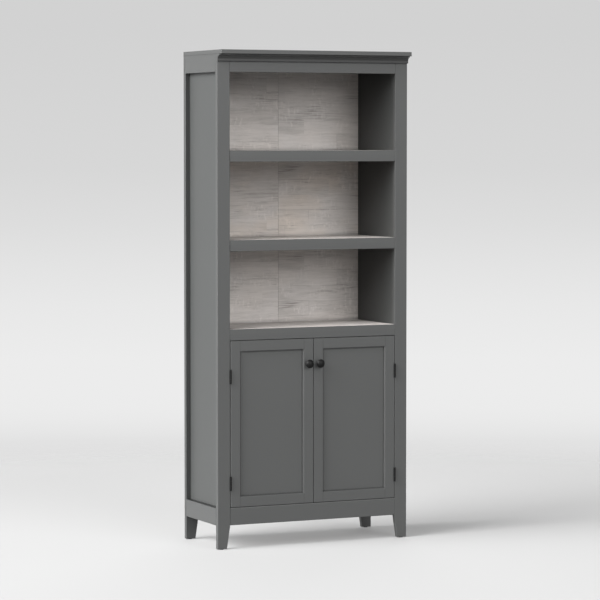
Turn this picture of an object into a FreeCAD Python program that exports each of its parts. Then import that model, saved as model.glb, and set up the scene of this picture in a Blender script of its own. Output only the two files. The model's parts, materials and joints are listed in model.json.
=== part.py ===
"""Bookcase with cabinet doors: three open bays over a two-door cabinet.

Row frame: millimetres, +Z up, front facing -Y, origin on the floor under the
middle of the overall box.  Every driving size is a cell of the sheet "Sizes".
"""
import FreeCAD, Part
import math
import os
import re

import Sketcher

doc = FreeCAD.newDocument("BookcaseWithDoors")
sheet = doc.addObject("Spreadsheet::Sheet", "Sizes")

SIZES = [
    # case
    ("overall_width", 776), ("overall_height", 1829), ("case_depth", 316),
    ("top_overhang", 38), ("top_thickness", 16), ("top_round", 2),
    ("stile_width", 50), ("stile_thickness", 18), ("foot_width", 37),
    ("leg_height", 88), ("base_rail_height", 64), ("top_rail_height", 65),
    ("side_recess", 17), ("edge_round", 1.5), ("board_thickness", 18),
    ("rear_rail_height", 50), ("back_thickness", 3), ("back_lap", 8),
    ("back_seam", 0.6), ("glide_radius", 7.5), ("glide_height", 2.5),
    # crown moulding under the top
    ("crown_projection", 22), ("crown_height", 26), ("crown_lip", 4),
    ("cove_radius", 14), ("crown_toe_round", 2),
    # shelves
    ("shelf_height", 41), ("apron_thickness", 18), ("door_opening", 616),
    ("shelf_side_gap", 0.75), ("shelf_front_gap", 0.5), ("shelf_rear_gap", 2),
    ("inner_shelf_setback", 30), ("inner_shelf_drop", 299),
    # shelf supports
    ("pin_radius", 2.5), ("pin_depth", 8), ("pin_hole_depth", 10),
    ("pin_hole_radius", 2.6), ("pin_pitch", 32), ("pin_front", 60),
    ("pin_spacing", 190), ("pin_reach", 9), ("pin_width", 8),
    ("pin_plate", 2), ("pin_tab", 2.4), ("pin_drop", 11), ("seat_gap", 0.2),
    # doors
    ("door_gap", 2), ("door_thickness", 18), ("frame_width", 42), ("low_rail_width", 41),
    ("panel_thickness", 6), ("panel_recess", 8), ("groove_depth", 9),
    ("panel_float", 1), ("door_round", 1), ("stick_bevel", 4.5),
    # hinges
    ("knuckle_radius", 3.5), ("hinge_standoff", 0.2), ("barrel_length", 52.5),
    ("knuckle_gap", 0.3), ("leaf_thickness", 0.9), ("leaf_width", 16),
    ("hinge_pin_radius", 1.6), ("running_gap", 0.05),
    ("upper_hinge_drop", 131), ("lower_hinge_rise", 88),
    ("screw_spacing", 30), ("screw_inset", 9), ("screw_radius", 1.5),
    ("screw_head_radius", 2.3), ("screw_length", 13),
    # knobs, strikes and catch
    ("knob_radius", 16), ("knob_projection", 26), ("knob_drop", 93),
    ("knob_bevel", 1.4), ("knob_foot_radius", 8.5), ("knob_neck_radius", 6),
    ("knob_screw_radius", 2), ("knob_screw_grip", 10),
    ("knob_screw_head", 4), ("knob_screw_head_height", 2),
    ("strike_width", 30), ("strike_height", 12), ("strike_thickness", 1),
    ("strike_drop", 3), ("strike_inset", 6), ("catch_width", 84),
    ("catch_depth", 14), ("catch_rise", 20), ("catch_gap", 0.3), ("catch_margin", 1),
    ("magnet_width", 24), ("magnet_height", 8), ("magnet_depth", 6),
]
for row, (alias, value) in enumerate(SIZES, 1):
    sheet.set("A%d" % row, alias)
    sheet.set("B%d" % row, str(value))
    sheet.setAlias("B%d" % row, alias)
doc.recompute()
NAMES = {alias for alias, _ in SIZES}

KNUCKLES = 3               # knuckles of a hinge barrel, counted from the bottom

# Named levels and planes, each an expression over the sheet's cells.
LEVELS = {
    "HALF": "(overall_width/2)",
    "INNER": "(overall_width/2 - stile_width)",
    "FRONT": "((top_overhang - case_depth)/2)",
    "BOX_DEPTH": "(case_depth - back_thickness)",
    "SIDE_DEPTH": "(case_depth - 2*stile_thickness)",
    "Z_FLOOR": "(leg_height + base_rail_height)",
    "Z_APRON": "(leg_height + base_rail_height + door_opening)",
    "Z_FIXED": "(leg_height + base_rail_height + door_opening + shelf_height)",
    "Z_TOP": "(overall_height - top_thickness)",
    "Z_FRIEZE": "(overall_height - top_thickness - top_rail_height)",
    "BAY": "((Z_FRIEZE - Z_FIXED - 2*shelf_height)/3)",
    "Z_LOWER": "(Z_FIXED + BAY + shelf_height)",
    "Z_UPPER": "(Z_FIXED + 2*BAY + 2*shelf_height)",
    "Z_INNER": "(Z_APRON - inner_shelf_drop)",
    "DOOR_H": "(door_opening - 2*door_gap)",
    "DOOR_W": "(INNER - 1.5*door_gap)",
    "Z_DOOR": "(Z_FLOOR + door_gap)",
    "RAIL_W": "(DOOR_W - 2*frame_width)",
    "HINGE_Y": "(0 - knuckle_radius - hinge_standoff)",
    "HINGE_X": "(0 - INNER + door_gap/2)",
    "Z_HINGE_LOW": "(Z_DOOR + lower_hinge_rise)",
    "Z_HINGE_HIGH": "(Z_DOOR + DOOR_H - upper_hinge_drop)",
    "KNOB_X": "(0 - door_gap/2 - frame_width/2)",
    "Z_KNOB": "(Z_DOOR + DOOR_H - knob_drop)",
    "KNUCKLE": "(barrel_length/%d)" % KNUCKLES,
}


def ex(text):
    """Turn a short formula into an expression that reads the sheet."""
    text = str(text)
    while re.search(r"\b[A-Z][A-Z_]+\b", text):
        text = re.sub(r"\b[A-Z][A-Z_]+\b", lambda m: LEVELS[m.group(0)], text)
    return re.sub(r"\b[a-z][a-z_]+\b",
                  lambda m: "Sizes." + m.group(0) if m.group(0) in NAMES else m.group(0), text)


def num(text):
    """Value of a formula now, for first guesses of sketch geometry."""
    value = sheet.evalExpression(ex(text))
    return float(getattr(value, "Value", value))


def bind(obj, path, text):
    obj.setExpression(path, ex(text))


def place(obj, spot):
    """Bind an object's position to three formulas."""
    for axis, text in zip("xyz", spot):
        bind(obj, "Placement.Base." + axis, text)


class Piece:
    """One PartDesign body with short helpers for its sketches and features."""

    def __init__(self, label, spot):
        self.body = doc.addObject("PartDesign::Body", "Body_" + label)
        self.body.Label = label
        if hasattr(self.body, "AllowCompound"):
            self.body.AllowCompound = True
        place(self.body, spot)
        self.count = 0

    def sketch(self, plane, offset="0"):
        """New sketch on one of the body's own origin planes."""
        self.count += 1
        sk = self.body.newObject("Sketcher::SketchObject",
                                 "Sketch_%s_%d" % (self.body.Label, self.count))
        role = plane + "_Plane"
        base = [f for f in self.body.Origin.OriginFeatures if f.Role == role][0]
        sk.AttachmentSupport = [(base, "")]
        sk.MapMode = "FlatFace"
        if offset != "0":
            bind(sk, "AttachmentOffset.Base.z", offset)
        return sk

    def outline(self, sk, points, arcs=None):
        """Closed outline through corner formulas; arcs maps a side to
        (radius formula, middle point guess). Radius None centres the arc on
        the vertical axis, for a dome that is turned about it."""
        arcs = arcs or {}
        xy = [FreeCAD.Vector(num(a), num(b), 0) for a, b in points]
        total = len(points)
        ids = []
        for i in range(total):
            p, q = xy[i], xy[(i + 1) % total]
            if i in arcs:
                mid = FreeCAD.Vector(num(arcs[i][1][0]), num(arcs[i][1][1]), 0)
                if (mid - p).cross(q - p).z < 0:      # arcs run anticlockwise
                    p, q = q, p
                ids.append(sk.addGeometry(Part.Arc(p, mid, q), False))
            else:
                ids.append(sk.addGeometry(Part.LineSegment(p, q), False))

        # First and last vertex numbers of each side, in outline order.
        ends = [(1, 2) if sk.Geometry[g].StartPoint.distanceToPoint(xy[i]) < 1e-6 else (2, 1)
                for i, g in enumerate(ids)]
        for i in range(total):
            j = (i + 1) % total
            sk.addConstraint(Sketcher.Constraint("Coincident", ids[i], ends[i][1],
                                                 ids[j], ends[j][0]))
        for i, (a, b) in enumerate(points):
            for kind, text, value in (("DistanceX", a, xy[i].x), ("DistanceY", b, xy[i].y)):
                self.dimension(sk, kind, ids[i], ends[i][0], text, value)
        for i, (radius, _) in arcs.items():
            if radius is None:
                sk.addConstraint(Sketcher.Constraint("PointOnObject", ids[i], 3, -2))
                continue
            c = sk.addConstraint(Sketcher.Constraint("Radius", ids[i], num(radius)))
            bind(sk, "Constraints[%d]" % c, radius)
        return ids

    def dimension(self, sk, kind, geo, vertex, text, value):
        """Hold one coordinate of a vertex, measured from the sketch origin."""
        if text == "0":
            axis = -2 if kind == "DistanceX" else -1
            sk.addConstraint(Sketcher.Constraint("PointOnObject", geo, vertex, axis))
            return
        c = sk.addConstraint(Sketcher.Constraint(kind, -1, 1, geo, vertex, value))
        bind(sk, "Constraints[%d]" % c, text)

    def rectangle(self, sk, x0, y0, x1, y1):
        return self.outline(sk, [(x0, y0), (x1, y0), (x1, y1), (x0, y1)])

    def circles(self, sk, centres, radius):
        for a, b in centres:
            x, y = num(a), num(b)
            g = sk.addGeometry(Part.Circle(FreeCAD.Vector(x, y, 0),
                                           FreeCAD.Vector(0, 0, 1), num(radius)), False)
            self.dimension(sk, "DistanceX", g, 3, a, x)
            self.dimension(sk, "DistanceY", g, 3, b, y)
            c = sk.addConstraint(Sketcher.Constraint("Radius", g, num(radius)))
            bind(sk, "Constraints[%d]" % c, radius)

    def pad(self, sk, length, reverse=False, taper=None):
        self.count += 1
        f = self.body.newObject("PartDesign::Pad", "Pad_%s_%d" % (self.body.Label, self.count))
        f.Profile = sk
        bind(f, "Length", length)
        f.Reversed = reverse
        if taper is not None:
            bind(f, "TaperAngle", taper)
        return f

    def pocket(self, sk, length, reverse=False, taper=None):
        """Cut, and make sure that the cut met the solid."""
        doc.recompute()
        before = self.body.Shape.Volume
        self.count += 1
        f = self.body.newObject("PartDesign::Pocket",
                                "Pocket_%s_%d" % (self.body.Label, self.count))
        f.Profile = sk
        bind(f, "Length", length)
        f.Reversed = reverse
        if taper is not None:
            bind(f, "TaperAngle", taper)
        doc.recompute()
        if not self.body.Shape.Volume < before - 1e-3:
            raise RuntimeError("pocket missed the solid: " + f.Name)
        return f

    def revolve(self, sk, axis):
        self.count += 1
        f = self.body.newObject("PartDesign::Revolution",
                                "Revolution_%s_%d" % (self.body.Label, self.count))
        f.Profile = sk
        f.ReferenceAxis = (sk, [axis])
        f.Angle = 360
        return f

    def ease(self, radius, test, kind="Fillet"):
        """Round or bevel every edge of the body that the test accepts."""
        doc.recompute()
        tip = self.body.Tip
        names = ["Edge%d" % (i + 1) for i, e in enumerate(tip.Shape.Edges) if test(e)]
        if not names:
            raise RuntimeError("no edge to ease on " + self.body.Label)
        self.count += 1
        f = self.body.newObject("PartDesign::" + kind,
                                "%s_%s_%d" % (kind, self.body.Label, self.count))
        f.Base = (tip, names)
        bind(f, "Radius" if kind == "Fillet" else "Size", radius)
        return f


def on(edge, axis, value, tol=1e-3):
    """True when the whole edge lies in the plane axis = value."""
    i = "xyz".index(axis)
    return all(abs(p[i] - value) < tol for p in
               (edge.Vertexes[0].Point, edge.Vertexes[-1].Point,
                edge.valueAt((edge.FirstParameter + edge.LastParameter) / 2)))


def along(edge, axis):
    """True for a straight edge parallel to an axis."""
    if len(edge.Vertexes) != 2:
        return False
    d = edge.Vertexes[1].Point - edge.Vertexes[0].Point
    return d.Length > 0 and abs(abs(d["xyz".index(axis)]) - d.Length) < 1e-6


def mirror(source, label):
    """Right-hand twin of a left-hand piece, about the plane X = 0."""
    twin = doc.addObject("Part::Mirroring", "Mirror_" + label)
    twin.Label = label
    twin.Source = source
    twin.Base = FreeCAD.Vector(0, 0, 0)
    twin.Normal = FreeCAD.Vector(1, 0, 0)
    return twin


def group(label, members):
    """Identical fasteners kept together as one group of separate solids."""
    g = doc.addObject("Part::Compound", "Group_" + label)
    g.Label = label
    g.Links = members
    return g


parts = []


def keep(*objects):
    parts.extend(objects)


def pair(piece, left, right):
    """Keep a left-hand body and its right-hand twin."""
    piece.body.Label = left
    keep(piece.body, mirror(piece.body, right))


# ---------------------------------------------------------------- posts
def post(label, y, rabbet):
    """Upright board that runs down into a leg tapered on its inner side."""
    p = Piece(label, ("0-HALF", y, "0"))
    sk = p.sketch("XZ")
    p.outline(sk, [("0", "glide_height"), ("foot_width", "glide_height"),
                   ("stile_width", "leg_height"), ("stile_width", "Z_TOP"), ("0", "Z_TOP")])
    p.pad(sk, "stile_thickness", reverse=True)
    if rabbet:
        cut = p.sketch("XZ", "back_thickness - stile_thickness")
        p.rectangle(cut, "stile_width - back_lap", "Z_FLOOR - board_thickness",
                    "stile_width", "Z_TOP")
        p.pocket(cut, "back_thickness")
    top = num("Z_TOP")
    if rabbet:
        p.ease("edge_round", lambda e: on(e, "x", 0) and along(e, "z"))
    else:
        p.ease("edge_round", lambda e: (on(e, "y", 0) or (on(e, "x", 0) and along(e, "z")))
               and not on(e, "z", top))
    return p


def hinge_centres():
    """Screw rows of both hinges, as (depth, height) formulas."""
    return [("HINGE_Y + knuckle_radius + hinge_standoff + screw_inset",
             "%s %s screw_spacing/2" % (z, sign))
            for z in ("Z_HINGE_LOW", "Z_HINGE_HIGH") for sign in "-+"]


front_post = post("front_stile_left", "FRONT", False)
pilot = front_post.sketch("YZ", "stile_width")
front_post.circles(pilot, hinge_centres(), "screw_radius + running_gap")
front_post.pocket(pilot, "screw_length")
pair(front_post, "front_stile_left", "front_stile_right")
rear_post = post("rear_stile_left", "FRONT + case_depth - stile_thickness", True)
pair(rear_post, "rear_stile_left", "rear_stile_right")

glides = Piece("foot_glides", ("0", "FRONT", "0"))
sk = glides.sketch("XY")
glides.circles(sk, [(x, y) for x in ("foot_width/2 - HALF", "HALF - foot_width/2")
                    for y in ("stile_thickness/2", "case_depth - stile_thickness/2")],
               "glide_radius")
glides.pad(sk, "glide_height")
keep(glides.body)


# ---------------------------------------------------------------- sides
SHELVES = [("upper", "Z_UPPER"), ("lower", "Z_LOWER"), ("inner", "Z_INNER")]


def pin_height(top):
    """Height of the support holes for a shelf whose surface is at top."""
    return "%s - board_thickness - seat_gap - pin_radius" % top


side = Piece("side_panel_left", ("side_recess - HALF", "FRONT + stile_thickness", "0"))
sk = side.sketch("YZ")
side.rectangle(sk, "0", "leg_height", "SIDE_DEPTH", "Z_TOP")
side.pad(sk, "stile_width - side_recess")
holes = side.sketch("YZ", "stile_width - side_recess")
side.circles(holes, [(y, "%s + %d*pin_pitch" % (pin_height(z), k))
                     for _, z in SHELVES for k in (-1, 0, 1)
                     for y in ("pin_front - stile_thickness",
                               "pin_front + pin_spacing - stile_thickness")],
             "pin_hole_radius")
side.pocket(holes, "pin_hole_depth")
pair(side, "side_panel_left", "side_panel_right")

for word, low, high in (("top", "Z_FRIEZE", "Z_TOP"), ("bottom", "leg_height", "Z_FLOOR")):
    rail = Piece("side_%s_rail_left" % word, ("0-HALF", "FRONT + stile_thickness", "0"))
    sk = rail.sketch("YZ")
    rail.rectangle(sk, "0", low, "SIDE_DEPTH", high)
    rail.pad(sk, "side_recess")
    free = [num(low)] if word == "top" else [num(low), num(high)]
    rail.ease("edge_round", lambda e: on(e, "x", 0) and along(e, "y")
              and any(on(e, "z", z) for z in free))
    pair(rail, "side_%s_rail_left" % word, "side_%s_rail_right" % word)


# ---------------------------------------------------------------- boards across the case
def board(label, y, depth, z, height, half="INNER", rounds=None, size="edge_round"):
    """Board centred on X = 0; rounds picks the edges that are eased."""
    b = Piece(label, ("0", "FRONT + (%s)" % y, z))
    sk = b.sketch("XY")
    b.rectangle(sk, "0 - (%s)" % half, "0", half, depth)
    b.pad(sk, height)
    if rounds:
        b.ease(size, rounds)
    keep(b.body)
    return b


def front_low(height=None):
    """Edges along X on the front face: the lower one, and the upper if asked."""
    return lambda e: along(e, "x") and on(e, "y", 0) and (
        on(e, "z", 0) or (height is not None and on(e, "z", num(height))))


board("front_top_rail", "0", "stile_thickness", "Z_FRIEZE", "top_rail_height",
      rounds=front_low())
board("front_bottom_rail", "0", "stile_thickness", "leg_height", "base_rail_height",
      rounds=front_low("base_rail_height"), size="door_round")
board("fixed_shelf_board", "0", "BOX_DEPTH", "Z_FIXED - board_thickness", "board_thickness",
      rounds=lambda e: along(e, "x") and on(e, "y", 0) and on(e, "z", num("board_thickness")),
      size="door_round")
board("fixed_shelf_apron", "0", "apron_thickness", "Z_APRON", "shelf_height - board_thickness",
      rounds=front_low(), size="door_round")
board("cabinet_floor", "stile_thickness", "BOX_DEPTH - stile_thickness",
      "Z_FLOOR - board_thickness", "board_thickness")
board("rear_bottom_rail", "case_depth - stile_thickness", "stile_thickness", "leg_height",
      "base_rail_height - board_thickness")
board("rear_top_rail", "BOX_DEPTH - stile_thickness", "stile_thickness",
      "Z_TOP - rear_rail_height", "rear_rail_height")
board("top_panel", "0 - top_overhang", "case_depth + top_overhang", "Z_TOP",
      "top_thickness", half="HALF", size="top_round",
      rounds=lambda e: (on(e, "z", num("top_thickness")) and
                        not on(e, "y", num("case_depth + top_overhang")))
      or (along(e, "z") and on(e, "y", 0)) or (along(e, "x") and on(e, "y", 0)))

back = Piece("back_panel_left", ("0", "FRONT + BOX_DEPTH", "Z_FLOOR - board_thickness"))
sk = back.sketch("XZ")
back.rectangle(sk, "0 - INNER - back_lap", "0", "0 - back_seam/2",
               "Z_TOP - Z_FLOOR + board_thickness")
back.pad(sk, "back_thickness", reverse=True)
pair(back, "back_panel_left", "back_panel_right")

# Crown: a lip, a quarter-round cove and a short toe, run the width of the front.
crown = Piece("crown_moulding", ("0 - HALF", "FRONT", "Z_TOP"))
sk = crown.sketch("YZ")
lip_y, toe_y = "0 - crown_projection", "cove_radius - crown_projection"
half_chord = "cove_radius*0.70710678"
crown.outline(sk, [("0", "0"), (lip_y, "0"), (lip_y, "0 - crown_lip"),
                   (toe_y, "0 - crown_lip - cove_radius"),
                   (toe_y, "0 - crown_height"), ("0", "0 - crown_height")],
              {2: ("cove_radius", (lip_y + " + " + half_chord,
                                   "0 - crown_lip - cove_radius + " + half_chord))})
crown.pad(sk, "2*HALF")
crown.ease("crown_toe_round", lambda e: along(e, "x") and on(e, "z", -num("crown_height"))
           and not on(e, "y", 0))
keep(crown.body)

# ---------------------------------------------------------------- loose shelves
for word, z in SHELVES[:2]:
    board(word + "_shelf_board", "shelf_front_gap",
          "BOX_DEPTH - shelf_front_gap - shelf_rear_gap", z + " - board_thickness",
          "board_thickness", half="INNER - shelf_side_gap", size="door_round",
          rounds=lambda e: along(e, "x") and on(e, "y", 0) and on(e, "z", num("board_thickness")))
    board(word + "_shelf_apron", "shelf_front_gap", "apron_thickness", z + " - shelf_height",
          "shelf_height - board_thickness", half="INNER - shelf_side_gap",
          rounds=front_low(), size="door_round")
board("cabinet_shelf", "inner_shelf_setback",
      "BOX_DEPTH - inner_shelf_setback - shelf_rear_gap", "Z_INNER - board_thickness",
      "board_thickness", half="INNER - shelf_side_gap", size="door_round",
      rounds=front_low("board_thickness"))

# Supports: a plug in the side, a flat ledge under the shelf and a drop tab.
pins = Piece("shelf_pins_left", ("0 - INNER", "FRONT", "0"))
spots = [(y, pin_height(z)) for _, z in SHELVES
         for y in ("pin_front", "pin_front + pin_spacing")]
for low, reach in (("pin_drop", "pin_tab"), ("pin_plate", "pin_reach")):
    blade = pins.sketch("YZ")
    for y, z in spots:
        pins.rectangle(blade, y + " - pin_width/2", z + " + pin_radius - " + low,
                       y + " + pin_width/2", z + " + pin_radius")
    pins.pad(blade, reach)
plug = pins.sketch("YZ")
pins.circles(plug, spots, "pin_radius - running_gap")
pins.pad(plug, "pin_depth", reverse=True)
keep(group("shelf_pins", [pins.body, mirror(pins.body, "shelf_pins_right")]))


# ---------------------------------------------------------------- doors
def door_stile(label, x, groove_at):
    """Full-height frame member; groove_at is the side that holds the panel.

    That side is stuck with a bevel on the front, over its whole height.
    """
    m = Piece(label, (x, "FRONT", "Z_DOOR"))
    sk = m.sketch("XY")
    y1, y2 = "panel_recess", "panel_recess + panel_thickness"
    if groove_at == "high":
        pts = [("0", "0"), ("frame_width - stick_bevel", "0"), ("frame_width", "stick_bevel"),
               ("frame_width", y1), ("frame_width - groove_depth", y1),
               ("frame_width - groove_depth", y2), ("frame_width", y2),
               ("frame_width", "door_thickness"), ("0", "door_thickness")]
    else:
        pts = [("stick_bevel", "0"), ("frame_width", "0"), ("frame_width", "door_thickness"),
               ("0", "door_thickness"), ("0", y2), ("groove_depth", y2),
               ("groove_depth", y1), ("0", y1), ("0", "stick_bevel")]
    m.outline(sk, pts)
    m.pad(sk, "DOOR_H")
    m.ease("door_round", lambda e: on(e, "y", 0))
    return m


def door_rail(label, z, width, groove_up):
    """Frame member between the stiles, bevelled like them beside the panel.

    Each end is coped over the bevel of its stile and has a stub tongue.
    """
    m = Piece(label, ("door_gap + frame_width - INNER", "FRONT", z))
    y1, y2 = "panel_recess", "panel_recess + panel_thickness"
    sk = m.sketch("YZ", "0 - stick_bevel")
    if groove_up:
        deep = width + " - groove_depth"
        pts = [("0", "0"), ("door_thickness", "0"), ("door_thickness", width), (y2, width),
               (y2, deep), (y1, deep), (y1, width), ("stick_bevel", width),
               ("0", width + " - stick_bevel")]
        tongue = ("0", deep)
    else:
        pts = [("0", "stick_bevel"), ("stick_bevel", "0"), (y1, "0"), (y1, "groove_depth"),
               (y2, "groove_depth"), (y2, "0"), ("door_thickness", "0"),
               ("door_thickness", width), ("0", width)]
        tongue = ("groove_depth", width)
    m.outline(sk, pts)
    m.pad(sk, "RAIL_W + 2*stick_bevel")
    m.ease("door_round", lambda e: on(e, "y", 0) and along(e, "x"))
    cope = m.sketch("XY")
    for tip, root in (("0 - stick_bevel", "0"), ("RAIL_W + stick_bevel", "RAIL_W")):
        m.outline(cope, [(tip, "0"), (root, "stick_bevel"), (root, "door_thickness"),
                         (tip, "door_thickness")])
    m.pocket(cope, width, reverse=True)
    for offset, back_to in (("0", True), ("RAIL_W", False)):
        end = m.sketch("YZ", offset)
        m.rectangle(end, y1, tongue[0], y2, tongue[1])
        m.pad(end, "groove_depth - panel_float", reverse=back_to)
    return m


hinge_stile = door_stile("left_door_hinge_stile", "door_gap - INNER", "high")
pilot = hinge_stile.sketch("YZ")
hinge_stile.circles(pilot, [(y, z + " - Z_DOOR") for y, z in hinge_centres()],
                    "screw_radius + running_gap")
hinge_stile.pocket(pilot, "screw_length", reverse=True)
pair(hinge_stile, "left_door_hinge_stile", "right_door_hinge_stile")

meeting = door_stile("left_door_meeting_stile", "0 - door_gap/2 - frame_width", "low")
bore = meeting.sketch("XZ")
meeting.circles(bore, [("frame_width/2", "Z_KNOB - Z_DOOR")], "knob_screw_radius + running_gap")
meeting.pocket(bore, "door_thickness")
pair(meeting, "left_door_meeting_stile", "right_door_meeting_stile")

pair(door_rail("left_door_top_rail", "Z_DOOR + DOOR_H - frame_width", "frame_width", False),
     "left_door_top_rail", "right_door_top_rail")
pair(door_rail("left_door_bottom_rail", "Z_DOOR", "low_rail_width", True),
     "left_door_bottom_rail", "right_door_bottom_rail")

panel = Piece("left_door_panel",
              ("door_gap + frame_width - INNER", "FRONT + panel_recess",
               "Z_DOOR + low_rail_width"))
sk = panel.sketch("XZ")
lap = "groove_depth - panel_float"
panel.rectangle(sk, "0 - (%s)" % lap, "0 - (%s)" % lap, "RAIL_W + " + lap,
                "DOOR_H - low_rail_width - frame_width + " + lap)
panel.pad(sk, "panel_thickness", reverse=True)
pair(panel, "left_door_panel", "right_door_panel")

# Knob: foot, waisted neck and domed head in one turned profile.
knob = Piece("left_door_knob", ("KNOB_X", "FRONT", "Z_KNOB"))
sk = knob.sketch("XY")
knob.outline(
    sk,
    [("0", "0 - knob_screw_grip"), ("knob_screw_radius", "0 - knob_screw_grip"),
     ("knob_screw_radius", "0"), ("knob_foot_radius", "0"),
     ("knob_foot_radius", "0 - 0.07*knob_projection"),
     ("knob_neck_radius", "0 - 0.16*knob_projection"),
     ("knob_neck_radius", "0 - 0.33*knob_projection"),
     ("knob_radius - knob_bevel", "0 - 0.62*knob_projection + knob_bevel"),
     ("knob_radius", "0 - 0.62*knob_projection"), ("0", "0 - knob_projection")],
    {8: (None, ("0.55*knob_radius", "0 - 0.91*knob_projection"))})
knob.revolve(sk, "V_Axis")
pair(knob, "left_door_knob", "right_door_knob")

screw = Piece("left_door_knob_screw", ("KNOB_X", "FRONT", "Z_KNOB"))
sk = screw.sketch("XZ", "0 - door_thickness")
screw.circles(sk, [("0", "0")], "knob_screw_radius - running_gap")
screw.pad(sk, "door_thickness + knob_screw_grip - seat_gap")
head = screw.sketch("XZ", "0 - door_thickness")
screw.circles(head, [("0", "0")], "knob_screw_head")
screw.pad(head, "knob_screw_head_height", reverse=True)
screw.ease("knob_screw_head_height*0.4",
           lambda e: on(e, "y", num("door_thickness + knob_screw_head_height")), "Chamfer")
pair(screw, "left_door_knob_screw", "right_door_knob_screw")

strike = Piece("left_door_strike_plate",
               ("0 - strike_inset - strike_width", "FRONT + door_thickness",
                "Z_DOOR + DOOR_H - strike_drop - strike_height"))
sk = strike.sketch("XZ")
strike.rectangle(sk, "0", "0", "strike_width", "strike_height")
strike.pad(sk, "strike_thickness", reverse=True)
pair(strike, "left_door_strike_plate", "right_door_strike_plate")

# Catch: hangs behind the apron, its magnets just clear of the strike plates.
catch = Piece("door_catch", ("0 - catch_width/2", "FRONT + apron_thickness", "Z_APRON"))
sk = catch.sketch("YZ")
drop = "0 - door_gap - strike_drop - strike_height - catch_margin"
clear = "strike_thickness + catch_gap"
catch.outline(sk, [("0", "0"), ("0", "catch_rise"), ("catch_depth", "catch_rise"),
                   ("catch_depth", drop), (clear, drop), (clear, "0")])
catch.pad(sk, "catch_width")
magnet_z = "0 - door_gap - strike_drop - strike_height/2"
cut = catch.sketch("XZ", "0 - (%s)" % clear)
for x in ("catch_width/2 - strike_inset - strike_width/2",
          "catch_width/2 + strike_inset + strike_width/2"):
    catch.rectangle(cut, x + " - magnet_width/2", magnet_z + " - magnet_height/2",
                    x + " + magnet_width/2", magnet_z + " + magnet_height/2")
catch.pocket(cut, "magnet_depth")
keep(catch.body)

magnet = Piece("catch_magnet_left",
               ("0 - strike_inset - strike_width/2", "FRONT + apron_thickness + " + clear,
                "Z_APRON + " + magnet_z))
sk = magnet.sketch("XZ")
magnet.rectangle(sk, "0 - magnet_width/2", "0 - magnet_height/2", "magnet_width/2",
                 "magnet_height/2")
magnet.pad(sk, "magnet_depth", reverse=True)
keep(group("catch_magnets", [magnet.body, mirror(magnet.body, "catch_magnet_right")]))


# ---------------------------------------------------------------- hinges
def hinge_leaf(label, z, own, side):
    """Butt-hinge leaf with its own share of the three knuckles.

    own lists its knuckles from the bottom; side is -1 for the leaf on the
    case and +1 for the leaf on the door.
    """
    h = Piece(label, ("HINGE_X", "FRONT + HINGE_Y", z + " - barrel_length/2"))
    near = "knuckle_radius + hinge_standoff + knuckle_gap"
    far = "knuckle_radius + hinge_standoff + leaf_width"
    root = "hinge_pin_radius + running_gap + knuckle_gap"
    pts = [(far, "0"), (far, "barrel_length")]
    spans = []
    for k in own:
        low = "%d*KNUCKLE" % k + (" + knuckle_gap/2" if k else "")
        high = "%d*KNUCKLE" % (k + 1) + (" - knuckle_gap/2" if k < KNUCKLES - 1 else "")
        spans.append((low, high))
    if own[-1] != KNUCKLES - 1:
        pts.append((near, "barrel_length"))
    for low, high in reversed(spans):
        if high == "%d*KNUCKLE" % KNUCKLES:
            pts.append((root, "barrel_length"))
        else:
            pts += [(near, high), (root, high)]
        if low.startswith("0*"):
            pts.append((root, "0"))
        else:
            pts += [(root, low), (near, low)]
    if own[0] != 0:
        pts.append((near, "0"))
    offset = "door_gap/2 - leaf_thickness" if side > 0 else "0 - door_gap/2"
    sk = h.sketch("YZ", offset)
    h.outline(sk, pts)
    h.pad(sk, "leaf_thickness")
    for low, high in spans:
        ring = h.sketch("XY", low)
        h.circles(ring, [("0", "0")], "knuckle_radius")
        h.circles(ring, [("0", "0")], "hinge_pin_radius + running_gap")
        h.pad(ring, "(%s) - (%s)" % (high, low))
    shown = offset if side > 0 else offset + " + leaf_thickness"
    drill = h.sketch("YZ", shown)
    h.circles(drill, [("0 - HINGE_Y + screw_inset", "barrel_length/2 %s screw_spacing/2" % s)
                      for s in "-+"], "screw_radius + running_gap + leaf_thickness")
    h.pocket(drill, "leaf_thickness", reverse=side > 0, taper="0 - 45")
    return h.body


def hinge_pin(label, z):
    """Plain pin, flush with both ends of the barrel."""
    h = Piece(label, ("HINGE_X", "FRONT + HINGE_Y", z + " - barrel_length/2"))
    sk = h.sketch("XY")
    h.circles(sk, [("0", "0")], "hinge_pin_radius")
    h.pad(sk, "barrel_length")
    return h.body


def hinge_screws(label, side):
    """Flush countersunk screws of both hinges on one leaf: all four."""
    x = "HINGE_X %s (door_gap/2 - leaf_thickness)" % ("+" if side > 0 else "-")
    h = Piece(label, (x, "FRONT", "0"))
    into = side < 0
    head = h.sketch("YZ")
    h.circles(head, hinge_centres(), "screw_head_radius")
    h.pad(head, "screw_head_radius - screw_radius", reverse=into, taper="0 - 45")
    shank = h.sketch("YZ")
    h.circles(shank, hinge_centres(), "screw_radius")
    h.pad(shank, "screw_length", reverse=into)
    return h.body


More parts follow.
